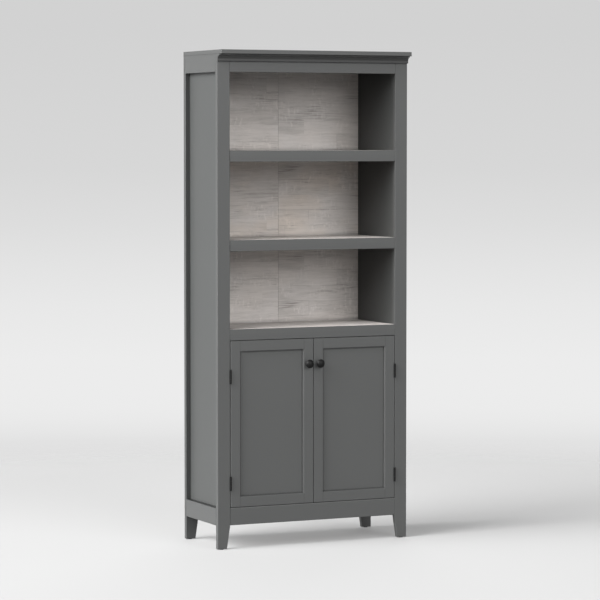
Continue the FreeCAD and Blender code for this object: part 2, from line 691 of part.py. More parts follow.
case_leaves, door_leaves, hinge_pins = [], [], []
for word, z in (("lower", "Z_HINGE_LOW"), ("upper", "Z_HINGE_HIGH")):
    case_leaves.append(hinge_leaf("case_leaf_" + word, z, (0, 2), -1))
    door_leaves.append(hinge_leaf("door_leaf_" + word, z, (1,), 1))
    hinge_pins.append(hinge_pin("hinge_pin_" + word, z))
keep(group("hinge_case_leaves", case_leaves + [mirror(b, b.Label + "_right")
                                               for b in case_leaves]))
keep(group("hinge_pins", hinge_pins + [mirror(b, b.Label + "_right") for b in hinge_pins]))
left_leaves = group("left_door_hinge_leaves", door_leaves)
keep(left_leaves, mirror(left_leaves, "right_door_hinge_leaves"))
case_screws = hinge_screws("case_screws_left", -1)
keep(group("hinge_case_screws", [case_screws, mirror(case_screws, "case_screws_right")]))
door_screws = hinge_screws("left_door_hinge_screws", 1)
keep(door_screws, mirror(door_screws, "right_door_hinge_screws"))

# ---------------------------------------------------------------- check and write
doc.recompute()
bad = [o.Name for o in doc.Objects if "Invalid" in o.State or "Error" in o.State]
if bad:
    raise RuntimeError("failed objects: " + ", ".join(bad))
for obj in parts:
    if obj.Shape.isNull() or not obj.Shape.isValid() or not obj.Shape.Solids:
        raise RuntimeError("bad shape: " + obj.Label)
os.makedirs("parts", exist_ok=True)
for obj in parts:
    obj.Shape.exportStep(os.path.join("parts", obj.Label + ".step"))
print("wrote", len(parts), "sub-parts")
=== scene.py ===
"""Looks of a grey bookcase with cabinet doors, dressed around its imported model.

Metres, in the model's own frame: +Z up, the front facing -Y, the origin on the floor
under the middle of the box.  Each sub-assembly is a class that finds its boards in the
frame, gives them their finish and adds the small hardware that the frame leaves out.
"""

import json
import logging
import math
from dataclasses import dataclass, replace
from enum import Enum
from typing import Iterable, Sequence

import bmesh
import bpy
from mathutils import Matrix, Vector

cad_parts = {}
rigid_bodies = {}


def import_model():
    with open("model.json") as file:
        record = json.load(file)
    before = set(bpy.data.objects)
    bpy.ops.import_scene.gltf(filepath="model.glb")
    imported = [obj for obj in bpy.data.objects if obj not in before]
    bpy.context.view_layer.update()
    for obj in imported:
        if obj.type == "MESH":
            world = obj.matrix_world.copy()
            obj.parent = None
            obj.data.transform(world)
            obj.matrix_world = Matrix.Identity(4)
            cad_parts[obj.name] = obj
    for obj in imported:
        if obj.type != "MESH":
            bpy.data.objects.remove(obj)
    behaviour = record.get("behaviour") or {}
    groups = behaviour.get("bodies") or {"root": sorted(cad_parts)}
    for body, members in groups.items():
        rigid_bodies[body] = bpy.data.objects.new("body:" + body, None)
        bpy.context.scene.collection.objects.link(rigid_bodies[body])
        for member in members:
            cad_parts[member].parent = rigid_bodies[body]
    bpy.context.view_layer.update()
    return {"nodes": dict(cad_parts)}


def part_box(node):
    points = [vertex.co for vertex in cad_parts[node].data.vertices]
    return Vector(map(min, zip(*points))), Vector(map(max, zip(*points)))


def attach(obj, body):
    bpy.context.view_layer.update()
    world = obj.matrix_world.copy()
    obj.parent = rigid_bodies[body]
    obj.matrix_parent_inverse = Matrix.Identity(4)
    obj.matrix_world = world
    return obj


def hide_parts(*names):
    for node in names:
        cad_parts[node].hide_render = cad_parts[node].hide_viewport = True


LOG = logging.getLogger("bookcase")
MM = 0.001
X, Y, Z = range(3)
BACKWARDS = Vector((0, 1, 0))
CASE_MIDDLE = 0.915  # height that the lamps face
OVER_ALL = 9.0  # height that no board reaches

# Sockets of nodes that hold one set of sockets for each kind of value.
MIX_SHARE, MIX_BASE, MIX_TOP, MIX_COLOUR = 0, 6, 7, 2
RANDOM_LOW, RANDOM_HIGH, RANDOM_NUMBER = 2, 3, 1


# ------------------------------------------------------------------ colours and directions
@dataclass(frozen=True)
class Tone:
    """A colour as it looks on a screen.

    Attributes:
        red: red channel, from 0 to 255.
        green: green channel.
        blue: blue channel.
    """

    red: float
    green: float
    blue: float

    @property
    def linear(self) -> tuple[float, float, float, float]:
        """The same colour in linear light, by the screens' standard curve.

        Returns:
            Red, green and blue, and full alpha.
        """
        shares = [channel / 255 for channel in (self.red, self.green, self.blue)]
        light = [s / 12.92 if s <= 0.04045 else ((s + 0.055) / 1.055) ** 2.4 for s in shares]
        return (*light, 1.0)


class Run(Enum):
    """The way a board runs, and with it its brush strokes or its grain."""

    ALONG_X = 0
    ALONG_Y = 1
    ALONG_Z = 2


class Hand(Enum):
    """Which of the two doors; the value is the side of the case that it hangs on."""

    LEFT = -1
    RIGHT = 1

    @property
    def word(self) -> str:
        """The hand as the pieces' names spell it."""
        return self.name.lower()


# ------------------------------------------------------------------ node trees
class Field:
    """One output socket of a node, with arithmetic that adds Math nodes."""

    def __init__(self, graph: "Graph", socket: bpy.types.NodeSocket | None) -> None:
        """Wrap an output socket of a node in that graph."""
        self.graph = graph
        self.socket = socket

    def math(self, operation: str, other: "Field | float" = 0.0, swap: bool = False) -> "Field":
        """This field and another through one Math node.

        Args:
            operation: the Math node's operation.
            other: the second operand.
            swap: put the other operand first.
        Returns:
            The node's value.
        """
        first, second = (other, self) if swap else (self, other)
        return self.graph.node("ShaderNodeMath", {"operation": operation}, {0: first, 1: second})

    def __add__(self, other: "Field | float") -> "Field":
        """Sum."""
        return self.math("ADD", other)

    __radd__ = __add__

    def __sub__(self, other: "Field | float") -> "Field":
        """Difference."""
        return self.math("SUBTRACT", other)

    def __rsub__(self, other: float) -> "Field":
        """A number less this field."""
        return self.math("SUBTRACT", other, swap=True)

    def __mul__(self, other: "Field | float") -> "Field":
        """Product."""
        return self.math("MULTIPLY", other)

    __rmul__ = __mul__

    def __truediv__(self, other: "Field | float") -> "Field":
        """Quotient."""
        return self.math("DIVIDE", other)

    def floor(self) -> "Field":
        """Whole part."""
        return self.math("FLOOR")

    def fraction(self) -> "Field":
        """What is left over the whole part."""
        return self.math("FRACT")

    def size(self) -> "Field":
        """Absolute value."""
        return self.math("ABSOLUTE")

    def larger(self, other: "Field | float") -> "Field":
        """The larger of two."""
        return self.math("MAXIMUM", other)

    def rise(self, low: float, high: float) -> "Field":
        """Soft step from 0 at low to 1 at high; low may be the larger.

        Args:
            low: value that gives 0.
            high: value that gives 1.
        Returns:
            The step, held between 0 and 1.
        """
        return self.graph.node(
            "ShaderNodeMapRange", {"interpolation_type": "SMOOTHSTEP"},
            {"Value": self, "From Min": low, "From Max": high})


class Graph:
    """A node tree with one method that makes any node in it."""

    def __init__(self, tree: bpy.types.NodeTree) -> None:
        """Work on that tree."""
        self.tree = tree

    def node(self, kind: str, settings: dict[str, object] | None = None,
             sockets: dict[str | int, object] | None = None, output: int | str = 0) -> Field:
        """Make a node, set it up and feed its sockets.

        Args:
            kind: the node's type.
            settings: its properties; "stops" is a ramp's list of (position, colour).
            sockets: values, fields or lists of fields for its inputs.
            output: which output comes back.
        Returns:
            That output, or an empty field where the node has none.
        """
        made = self.tree.nodes.new(kind)
        for name, value in (settings or {}).items():
            if name == "stops":
                self._stops(made.color_ramp, value)
            else:
                setattr(made, name, value)
        for name, value in (sockets or {}).items():
            for part in value if isinstance(value, list) else [value]:
                if isinstance(part, Field):
                    self.tree.links.new(part.socket, made.inputs[name])
                else:
                    made.inputs[name].default_value = part
        return Field(self, made.outputs[output] if len(made.outputs) else None)

    @staticmethod
    def _stops(ramp: bpy.types.ColorRamp, stops: Sequence[tuple[float, Sequence[float]]]) -> None:
        """Give a colour ramp its stops.

        Args:
            ramp: the ramp of a new node.
            stops: positions, rising from 0 to 1, with their colours.
        """
        while len(ramp.elements) < len(stops):
            ramp.elements.new(1.0)
        for element, (position, colour) in zip(ramp.elements, stops):
            element.position = position
            element.color = colour

    def vector(self, x: "Field | float", y: "Field | float", z: "Field | float") -> Field:
        """Three numbers as one vector."""
        return self.node("ShaderNodeCombineXYZ", None, {0: x, 1: y, 2: z})


class Surface(Graph):
    """Node tree of a material, with the steps that the finishes share."""

    def place(self) -> tuple[Field, Field, Field]:
        """Where the shaded point is.

        Returns:
            Its X, Y and Z in the object's own coordinates, in metres.
        """
        point = self.node("ShaderNodeTexCoord", output="Object")
        return tuple(self.node("ShaderNodeSeparateXYZ", None, {0: point}, axis)
                     for axis in (X, Y, Z))

    def length(self, vector: Field) -> Field:
        """Length of a vector."""
        return self.node("ShaderNodeVectorMath", {"operation": "LENGTH"}, {0: vector}, "Value")

    def noise(self, where: Field, detail: float = 2.0, roughness: float = 0.5,
              scale: float = 1.0) -> Field:
        """Smooth noise of about 0.5 on average.

        Args:
            where: vector to read the noise at.
            detail: number of octaves.
            roughness: share that each octave keeps.
            scale: frequency of the first octave.
        Returns:
            The noise value.
        """
        return self.node("ShaderNodeTexNoise", None, {
            "Vector": where, "Scale": scale, "Detail": detail, "Roughness": roughness})

    def chance(self, seed: Field) -> Field:
        """A number from 0 to 1 that is the same wherever the seed is."""
        return self.node("ShaderNodeTexWhiteNoise", {"noise_dimensions": "1D"}, {"W": seed})

    def mix(self, share: Field, base: object, top: object) -> Field:
        """One colour over another.

        Args:
            share: 0 for the base colour, 1 for the top colour.
            base: colour or field.
            top: colour or field.
        Returns:
            The mixed colour.
        """
        return self.node("ShaderNodeMix", {"data_type": "RGBA"},
                         {MIX_SHARE: share, MIX_BASE: base, MIX_TOP: top}, MIX_COLOUR)

    def shade(self, colour: object, light: Field) -> Field:
        """A colour made lighter or darker.

        Args:
            colour: colour or field.
            light: factor near 1.
        Returns:
            The shaded colour.
        """
        start = colour if isinstance(colour, Field) else colour[:3]
        return self.node("ShaderNodeVectorMath", {"operation": "SCALE"},
                         {0: start, "Scale": light})

    def cover(self, colour: object, roughness: object, relief: Field, depth: float,
              fixed: dict[str, object] | None = None) -> None:
        """End the tree in a Principled surface with a bump.

        Args:
            colour: base colour.
            roughness: number or field.
            relief: height of the surface, from 0 to 1.
            depth: metres that the relief stands for.
            fixed: sockets with one value all over.
        """
        normal = self.node("ShaderNodeBump", None,
                           {"Height": relief, "Distance": depth, "Strength": 1.0})
        sockets = {"Base Color": colour, "Roughness": roughness, "Normal": normal}
        body = self.node("ShaderNodeBsdfPrincipled", None, {**sockets, **(fixed or {})})
        self.node("ShaderNodeOutputMaterial", None, {"Surface": body})


def emptied(owner: bpy.types.Material | bpy.types.World) -> Surface:
    """The node tree of a material or world, cleared for use.

    Args:
        owner: the material or world.
    Returns:
        Its tree.
    """
    owner.use_nodes = True
    owner.node_tree.nodes.clear()
    return Surface(owner.node_tree)


# ------------------------------------------------------------------ objects and places
def put(name: str, data: bpy.types.ID) -> bpy.types.Object:
    """Add an object to the scene, at the origin.

    Args:
        name: name of the object.
        data: its mesh, light or camera.
    Returns:
        The object.
    """
    made = bpy.data.objects.new(name, data)
    bpy.context.scene.collection.objects.link(made)
    return made


def mesh_of(name: str, shape: bmesh.types.BMesh) -> bpy.types.Mesh:
    """Turn a loose shape into a mesh.

    Args:
        name: name of the mesh.
        shape: the shape, which is used up.
    Returns:
        The mesh.
    """
    mesh = bpy.data.meshes.new(name)
    shape.to_mesh(mesh)
    shape.free()
    return mesh


def join(name: str, pieces: Sequence[bpy.types.Object]) -> bpy.types.Object:
    """Several plain objects as one.

    Args:
        name: name of the result.
        pieces: objects that are used up.
    Returns:
        The joined object, with the materials of the first.
    """
    whole = bmesh.new()
    for piece in pieces:
        whole.from_mesh(piece.data)
    joined = put(name, mesh_of(name, whole))
    for material in pieces[0].data.materials:
        joined.data.materials.append(material)
    for piece in pieces:
        bpy.data.objects.remove(piece)
    return joined


def centre(name: str) -> Vector:
    """Middle of a solid's box."""
    low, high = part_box(name)
    return (low + high) / 2


def rear_face(name: str, behind: float = 0.0) -> Vector:
    """Middle of the rear face of a solid's box, or a point behind it."""
    middle = centre(name)
    return Vector((middle.x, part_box(name)[1].y + behind, middle.z))


# ------------------------------------------------------------------ finishes
@dataclass(frozen=True)
class Finish:
    """What every finish shares.

    Attributes:
        label: name of its material.
        slot: slot of the record that it fills.
    """

    label: str
    slot: str

    def material(self) -> bpy.types.Material:
        """The finish as a material, made once.

        Returns:
            The material with that label.
        """
        made = bpy.data.materials.get(self.label)
        if made is None:
            made = bpy.data.materials.new(self.label)
            self.paint(emptied(made))
        return made

    def paint(self, s: Surface) -> None:
        """Fill the material's node tree."""
        raise NotImplementedError

    def dress(self, *pieces: bpy.types.Object) -> None:
        """Put the finish on pieces, in place of what they had.

        Args:
            pieces: objects that wear it.
        """
        for piece in pieces:
            piece.data.materials.clear()
            piece.data.materials.append(self.material())


@dataclass(frozen=True)
class ShadeOrJointLine:
    """A straight line across a board: a joint the paint doesn't fill, painted shade or highlight.

    Attributes:
        axis: X, Y or Z, the direction that the line crosses.
        place: where it lies on that axis.
        half: half its width.
        depth: share of the light that it swallows; a negative share adds light.
    """

    axis: int
    place: float
    half: float = 0.55 * MM
    depth: float = 0.6

    def light(self, off: Field) -> Field:
        """Factor on the paint's tone at a distance from the line's place."""
        return 1 - off.rise(self.half * 1.3, self.half * 0.7) * self.depth


@dataclass(frozen=True)
class SatinPaint(Finish):
    """Two coats of satin paint over wood or fibreboard.

    Attributes:
        run: way of the brush strokes.
        tone: colour of the dry paint.
        sheen: roughness of the dry paint.
        stroke: how much the strokes change the tone.
        cloud: how much the tone drifts over a board.
        lines: open joints, bands of painted shade and painted highlights across the board.
        flat: height of a top face, which is rubbed dead matt.
        along: brush marks in a metre along the strokes.
        across: brush marks in a metre across them.
        mottle: how much strokes and drift change the roughness.
        shine: strength of its mirror light.
        bump: height of the brush marks.
    """

    run: Run = Run.ALONG_Z
    tone: Tone = Tone(61.1, 62, 61.6)
    sheen: float = 0.46
    stroke: float = 0.035
    cloud: float = 0.05
    lines: tuple[ShadeOrJointLine, ...] = ()
    flat: float = OVER_ALL
    along: float = 26
    across: float = 520
    mottle: tuple[float, float] = (0.10, 0.08)
    shine: float = 0.465
    bump: float = 0.06 * MM

    def layers(self, s: Surface) -> tuple[Field, Field, Field]:
        """Colour, roughness and relief of the painted surface.

        Args:
            s: the material's tree.
        Returns:
            The three, for this surface or for an edge of another.
        """
        axes = s.place()
        ways = [self.along if axis == self.run.value else self.across for axis in (X, Y, Z)]
        brushed = s.noise(s.vector(*(a * w for a, w in zip(axes, ways))), detail=3)
        speck = s.noise(s.vector(*axes), scale=1400, detail=1)
        stroke, cloud = brushed - 0.5, s.noise(s.vector(*axes), scale=3.2, detail=2) - 0.5
        light = 1 + stroke * self.stroke + cloud * self.cloud
        # Each line darkens the tone for a joint or painted shade, or lightens it for a painted
        # highlight.
        for line in self.lines:
            light = light * line.light((axes[line.axis] - line.place).size())
        colour = s.shade(self.tone.linear, light)
        rubbed = axes[Z].rise(self.flat - 0.8 * MM, self.flat - 0.2 * MM)
        roughness = self.sheen + stroke * self.mottle[0] + cloud * self.mottle[1] + rubbed
        return colour, roughness, brushed * 0.45 + speck * 0.55

    def paint(self, s: Surface) -> None:
        """Fill the material's node tree."""
        s.cover(*self.layers(s), self.bump, fixed={"Specular IOR Level": self.shine})


@dataclass(frozen=True)
class Marks:
    """One kind of mark in the oak print: noise that is stretched along the grain.

    Attributes:
        along: marks in a metre along the grain.
        across: marks in a metre across it.
        layer: depth in the noise, which keeps one kind apart from another.
        dark: how much the marks darken the print.
        matt: how much they roughen it.
        raised: how far they stand out of it.
        limits: noise where a mark starts and where it is full; none where the noise
            swings about its middle.
        middle: noise that counts as nothing, where there are no limits.
        detail: number of octaves.
        roughness: share that each octave keeps.
        sway: how far a shift moves them across the grain.
    """

    along: float
    across: float
    layer: float
    dark: float = 0.0
    matt: float = 0.0
    raised: float = 0.0
    limits: tuple[float, float] | None = None
    middle: float = 0.5
    detail: float = 2
    roughness: float = 0.5
    sway: float = 0.0

    def draw(self, s: Surface, x: Field, height: Field, pick: Field | float = 1.0,
             shift: Field | None = None) -> Field:
        """The marks over a face.

        Args:
            s: the material's tree.
            x: place along the grain.
            height: place across the grain.
            pick: factor on the layer, which sets one strip apart from the next.
            shift: what moves the marks across the grain.
        Returns:
            1 on a mark and 0 off it, or the noise less its middle.
        """
        place = height * self.across
        if shift is not None:
            place = place + shift * self.sway
        noise = s.noise(s.vector(x * self.along, place, pick * self.layer),
                        self.detail, self.roughness)
        return noise.rise(*self.limits) if self.limits else noise - self.middle


BEND = Marks(2.6, 12, 20, middle=0.0)
GRAIN = Marks(6.5, 92, 31, dark=0.82, matt=0.22, raised=0.35, detail=6, roughness=0.66, sway=4)
FIBRE = Marks(26, 1500, 7, dark=0.30, raised=0.25)
PORES = Marks(34, 420, 13, dark=0.20, matt=0.10, raised=-0.25, limits=(0.56, 0.72), detail=3)
GROUPS = Marks(4, 16, 1, limits=(0.52, 0.66))
STREAKS = Marks(10, 230, 3, dark=0.52, limits=(0.50, 0.66), detail=4, sway=7)
PATCHES = Marks(8, 12, 9, limits=(0.46, 0.60))
TICKS = Marks(100, 38, 3, dark=-0.28, limits=(0.50, 0.70))
DASHES = Marks(30, 300, 6, dark=0.30, limits=(0.54, 0.70))
WASH = Marks(7, 12, 4, dark=-0.55, detail=3, roughness=0.6, sway=3)
WEAR = Marks(7, 9, 2, dark=0.34, raised=-0.3, limits=(0.44, 0.62))
HUES = Marks(6, 9, 1, limits=(0.34, 0.66))


@dataclass(frozen=True)
class WashedOak(Finish):
    """Laminate printed as narrow strips of white-washed oak, its grain along X.

    Depth and height are added up across the grain, so that one pattern serves an
    upright back and a flat shelf alike.

    Attributes:
        pale: colour of the washed face.
        dark: colour of the open grain.
        warm: colour that some patches lean to.
        span: darkness that gives the washed colour and the open grain's.
        ground: darkness of the face before its marks.
        variety: how much the strips differ in darkness.
        strip: height of a printed strip.
        length: length of a printed strip.
        strips: rows of strips before the print comes again.
        drop: how much lower the print sits on the board right of the middle, where
            there are two.
        seam: half widths of a long seam, full and faded out, as shares of a strip.
        butt: the same for the ends of a strip, as shares of its length.
        joint: half widths of the joint of the two boards, full and faded out.
        joint_dark: how much the joint darkens the face.
        burl: X and height within the print of the darkest streaks.
        burl_size: half the length and the height of their patch.
        burl_edge: shares of that size where the patch ends and where it is full.
        tan: height where the print is warmest.
        tan_reach: distances from there where the warmth ends and where it is full.
        lean: how far patches lean to warm.
        hue: lean of the patches anywhere, of those in the warm band, and of that band.
        corners: heights where the front face meets a shelf.
        corner_reach: how far the painted shade of a shelf reaches over and under it.
        corner_shade: how much darker that painted shade makes the face.
        middle: Y halfway through the board.
        low_paling: how much paler the print is low down.
        low_paling_reach: heights where that starts and where it is full.
        bump: depth of the pressed grain.
    """

    pale: Tone = Tone(197, 191.9, 188.4)
    dark: Tone = Tone(121.3, 115.2, 111.2)
    warm: Tone = Tone(200, 189.9, 180.8)
    span: tuple[float, float] = (-0.25, 1.25)
    ground: float = 0.20
    variety: float = 0.19
    strip: float = 57.8 * MM
    length: float = 0.47
    strips: int = 9
    drop: float = 0.0
    seam: tuple[float, float] = (0.010, 0.026)
    butt: tuple[float, float] = (0.0008, 0.0024)
    joint: tuple[float, float] = (0.8 * MM, 2.2 * MM)
    joint_dark: float = 0.20
    burl: tuple[float, float] = (0.10, 0.418)
    burl_size: tuple[float, float] = (0.16, 0.035)
    burl_edge: tuple[float, float] = (1.5, 0.2)
    tan: float = 1.27
    tan_reach: tuple[float, float] = (0.23, 0.07)
    lean: float = 0.4
    hue: tuple[float, float, float] = (0.20, 0.62, 0.05)
    corners: tuple[float, ...] = ()
    corner_reach: float = 14 * MM
    corner_shade: float = 0.32
    middle: float = 0.0
    low_paling: float = 0.0
    low_paling_reach: tuple[float, float] = (1.0, 0.84)
    bump: float = 0.18 * MM

    def layers(self, s: Surface) -> tuple[Field, Field, Field]:
        """Colour, roughness and relief of the printed face.

        Args:
            s: the material's tree.
        Returns:
            The three, for this surface or for a board with a painted edge.
        """
        x, y, z = s.place()
        face = y + z
        right = x.math("GREATER_THAN", 0.0) * (1.0 if self.drop else 0.0)
        period = self.strip * self.strips
        across = ((face + right * self.drop) / period).fraction() * period
        # The odd factors only keep one draw apart from the next.
        row = (across / self.strip).floor() + right * 40
        step = x / self.length + s.chance(row * 1.7 + 0.3)
        pick = s.chance(row * 19.7 + step.floor() * 3.1)
        bend = BEND.draw(s, x, across, pick)
        patches = PATCHES.draw(s, x, face)
        seams = self.open_seam(across / self.strip, self.seam).larger(
            self.open_seam(step, self.butt))
        drawn = {
            GRAIN: GRAIN.draw(s, x, across, pick, bend),
            FIBRE: FIBRE.draw(s, x, across, pick),
            STREAKS: STREAKS.draw(s, x, across, pick, bend) * self.gather(s, x, across, right),
            PORES: PORES.draw(s, x, across, pick),
            WEAR: WEAR.draw(s, x, face) * seams,
            DASHES: DASHES.draw(s, x, across) * patches,
            TICKS: TICKS.draw(s, x, across) * patches,
            WASH: WASH.draw(s, x, across, shift=right),
        }
        start = self.ground + (pick - 0.5) * self.variety
        if self.drop:
            start = start + x.size().rise(*reversed(self.joint)) * self.joint_dark
        dark = self.total(start, drawn, "dark")
        patch = HUES.draw(s, x, face, pick * 0.4 + 7)
        band = (z - self.tan).size().rise(*self.tan_reach)
        anywhere, banded, around = self.hue
        lean = (patch * anywhere + band * (patch * banded + around)) * self.lean
        washed = s.mix(lean, self.pale.linear, self.warm.linear)
        colour = s.mix(dark.rise(*self.span), washed, self.dark.linear)
        return (self.with_shade_and_paling(s, colour, y, z), self.total(0.5, drawn, "matt"),
                self.total(0.5, drawn, "raised"))

    def gather(self, s: Surface, x: Field, across: Field, right: Field) -> Field:
        """Where dark streaks gather: in loose groups, and most of all round the burl.

        Args:
            s: the material's tree.
            x: place along the grain.
            across: place across the grain, within the print.
            right: 1 on the board right of the middle, where there are two.
        Returns:
            1 where they gather, 0 where there are none.
        """
        near = s.vector((x - self.burl[0]) / self.burl_size[0],
                        (across - self.burl[1]) / self.burl_size[1], 0)
        burl = s.length(near).rise(*self.burl_edge)
        return GROUPS.draw(s, x, across, right + 5).larger(burl)

    def with_shade_and_paling(self, s: Surface, colour: Field, y: Field, z: Field) -> Field:
        """The face with painted shade along the shelves, and paler low down.

        Args:
            s: the material's tree.
            colour: colour of the print.
            y: depth in the case.
            z: height in the case.
        Returns:
            The colour with both.
        """
        front = y.math("LESS_THAN", self.middle)
        # Painted shade on the front face, over and under each shelf.
        for corner in self.corners:
            shelf_shade = (z - corner).size().rise(self.corner_reach, 0.0) * front
            colour = s.shade(colour, 1 - shelf_shade * self.corner_shade)
        # The print is made paler low down.
        if self.low_paling:
            colour = s.shade(colour, 1 + z.rise(*self.low_paling_reach) * self.low_paling)
        return colour

    @staticmethod
    def total(start: Field | float, drawn: dict[Marks, Field], trait: str) -> Field:
        """What the marks make of a trait of the face.

        Args:
            start: the trait without marks.
            drawn: the marks' fields, by kind.
            trait: name of the marks' weight that counts.
        Returns:
            The start value with the share of each kind.
        """
        for marks, marked in drawn.items():
            weight = getattr(marks, trait)
            if weight:
                start = start + marked * weight
        return start

    @staticmethod
    def open_seam(step: Field, widths: tuple[float, float]) -> Field:
        """1 on the line where one strip meets the next, 0 away from it."""
        return (0.5 - (step.fraction() - 0.5).size()).rise(*reversed(widths))

    def paint(self, s: Surface) -> None:
        """Fill the material's node tree."""
        s.cover(*self.layers(s), self.bump)


@dataclass(frozen=True)
class FacedOak(WashedOak):
    """Washed oak whose front edge is painted like the case.

    Attributes:
        bump: depth of the pressed grain and of the brush marks.
        edge: Y of the line where the paint stops, just behind the eased edge.
        coat: the paint on the edge.
        waver: how far the line strays.
        back_edge_shade: painted shade, how much darker the board is along its back edge.
        back_edge_shade_reach: Y where that shade starts and where it is full.
    """

    bump: float = 0.14 * MM
    edge: float = 0.0
    coat: SatinPaint = SatinPaint("edge_coat", "grey_paint", Run.ALONG_X)
    waver: float = 0.6 * MM
    back_edge_shade: float = 0.28
    back_edge_shade_reach: tuple[float, float] = (0.02, 0.165)

    def paint(self, s: Surface) -> None:
        """Fill the material's node tree.

        Args:
            s: the material's tree.
        """
        x, y, z = s.place()
        stray = (s.noise(s.vector(x, y, z), scale=60) - 0.5) * self.waver
        painted = (y + stray).rise(self.edge + 0.2 * MM, self.edge)
        oak, coat = self.layers(s), self.coat.layers(s)
        # Painted shade: the face darkens towards its back edge, under the shelf above.
        back_shaded = s.shade(oak[0], 1 - y.rise(*self.back_edge_shade_reach) * self.back_edge_shade)
        roughness, relief = (under + (over - under) * painted
                             for under, over in zip(oak[1:], coat[1:]))
        s.cover(s.mix(painted, back_shaded, coat[0]), roughness, relief, self.bump)


@dataclass(frozen=True)
class HardMetal(Finish):
    """Plated, blackened or bare metal, rubbed a little where hands and tools touch.

    Attributes:
        tone: colour of the finish.
        rubbed: colour where it is rubbed.
        sheen: roughness of the finish.
        metallic: how far it is bare metal.
        rub: share of the surface that is rubbed.
        shine: strength of its mirror light.
    """

    tone: Tone = Tone(34, 33, 32)
    rubbed: Tone = Tone(88, 82, 76)
    sheen: float = 0.40
    metallic: float = 0.7
    rub: float = 0.3
    shine: float = 0.5

    def paint(self, s: Surface) -> None:
        """Fill the material's node tree.

        Args:
            s: the material's tree.
        """
        point = s.vector(*s.place())
        cloud = s.noise(point, scale=90, detail=4, roughness=0.6)
        grit = s.noise(point, scale=1800, detail=2)
        start, full = 0.62 - 0.12 * self.rub, 0.78
        rub = cloud.rise(start, full) * (0.4 + grit * 0.6)
        colour = s.mix(rub * self.rub, self.tone.linear, self.rubbed.linear)
        roughness = self.sheen + (grit - 0.5) * 0.16 + (cloud - 0.5) * 0.20 - rub * 0.08
        s.cover(colour, roughness, grit * 0.6 + cloud * 0.4, depth=0.04 * MM,
                fixed={"Metallic": self.metallic, "Specular IOR Level": self.shine})


@dataclass(frozen=True)
class MouldedPlastic(Finish):
    """Moulded plastic with a fine spark-eroded texture.

    Attributes:
        tone: colour of the plastic.
        sheen: roughness of the moulded face.
    """

    tone: Tone = Tone(60, 58, 56)
    sheen: float = 0.5

    def paint(self, s: Surface) -> None:
        """Fill the material's node tree.

        Args:
            s: the material's tree.
        """
        point = s.vector(*s.place())
        grit = s.noise(point, scale=2200, detail=2)
        flow = s.noise(point, scale=45, detail=3)
        colour = s.shade(self.tone.linear, 1 + (flow - 0.5) * 0.16 + (grit - 0.5) * 0.08)
        roughness = self.sheen + (grit - 0.5) * 0.2 + (flow - 0.5) * 0.1
        s.cover(colour, roughness, grit, depth=0.05 * MM)


PAINT = "grey_paint"
FRAME_PAINT = {run: SatinPaint("frame_paint_" + run.name.lower(), PAINT, run) for run in Run}
SIDE_PAINT = SatinPaint("side_panel_paint", PAINT, Run.ALONG_Z, tone=Tone(54.2, 55.5, 55))
# Frame paint made darker on the rear posts: painted shade for their faces behind the side panels.
REAR_SHADED_PAINT = replace(FRAME_PAINT[Run.ALONG_Z], label="rear_post_paint",
                     tone=Tone(55.8, 56.7, 56.3))
OAK = WashedOak("washed_oak", "wood_grain_laminate")
BACK_OAK = WashedOak("back_washed_oak", "wood_grain_laminate", drop=0.21, lean=1.15,
                    low_paling=0.09)
HINGE_BLACK = HardMetal("hinge_black", "black_hinge_steel", tone=Tone(10, 10, 10), shine=0.15,
                        rubbed=Tone(34, 33, 32), sheen=0.55, metallic=0.1, rub=0.25)
KNOB_BRONZE = HardMetal("knob_bronze", "dark_bronze_knob", tone=Tone(13, 13, 13), shine=0.13,
                        rubbed=Tone(34, 31, 28), sheen=0.5, metallic=0.0, rub=0.3)
ZINC = HardMetal("bright_zinc", "zinc_steel", tone=Tone(176, 178, 182),
                 rubbed=Tone(206, 207, 210), sheen=0.34, metallic=1.0, rub=0.4)
MAGNET = HardMetal("magnet_plate", "magnet_steel", tone=Tone(120, 121, 124),
                   rubbed=Tone(160, 160, 164), sheen=0.3, metallic=1.0, rub=0.4)
CATCH_PLASTIC = MouldedPlastic("catch_moulding", "catch_plastic", tone=Tone(58, 55, 52))
GLIDE_PLASTIC = MouldedPlastic("glide_moulding", "glide_plastic", tone=Tone(40, 40, 41),
                               sheen=0.6)


def lined(run: Run, label: str, *lines: ShadeOrJointLine, **changes: object) -> SatinPaint:
    """Frame paint along a run, with open joints, painted shade and painted highlights."""
    return replace(FRAME_PAINT[run], label=label, lines=lines, **changes)


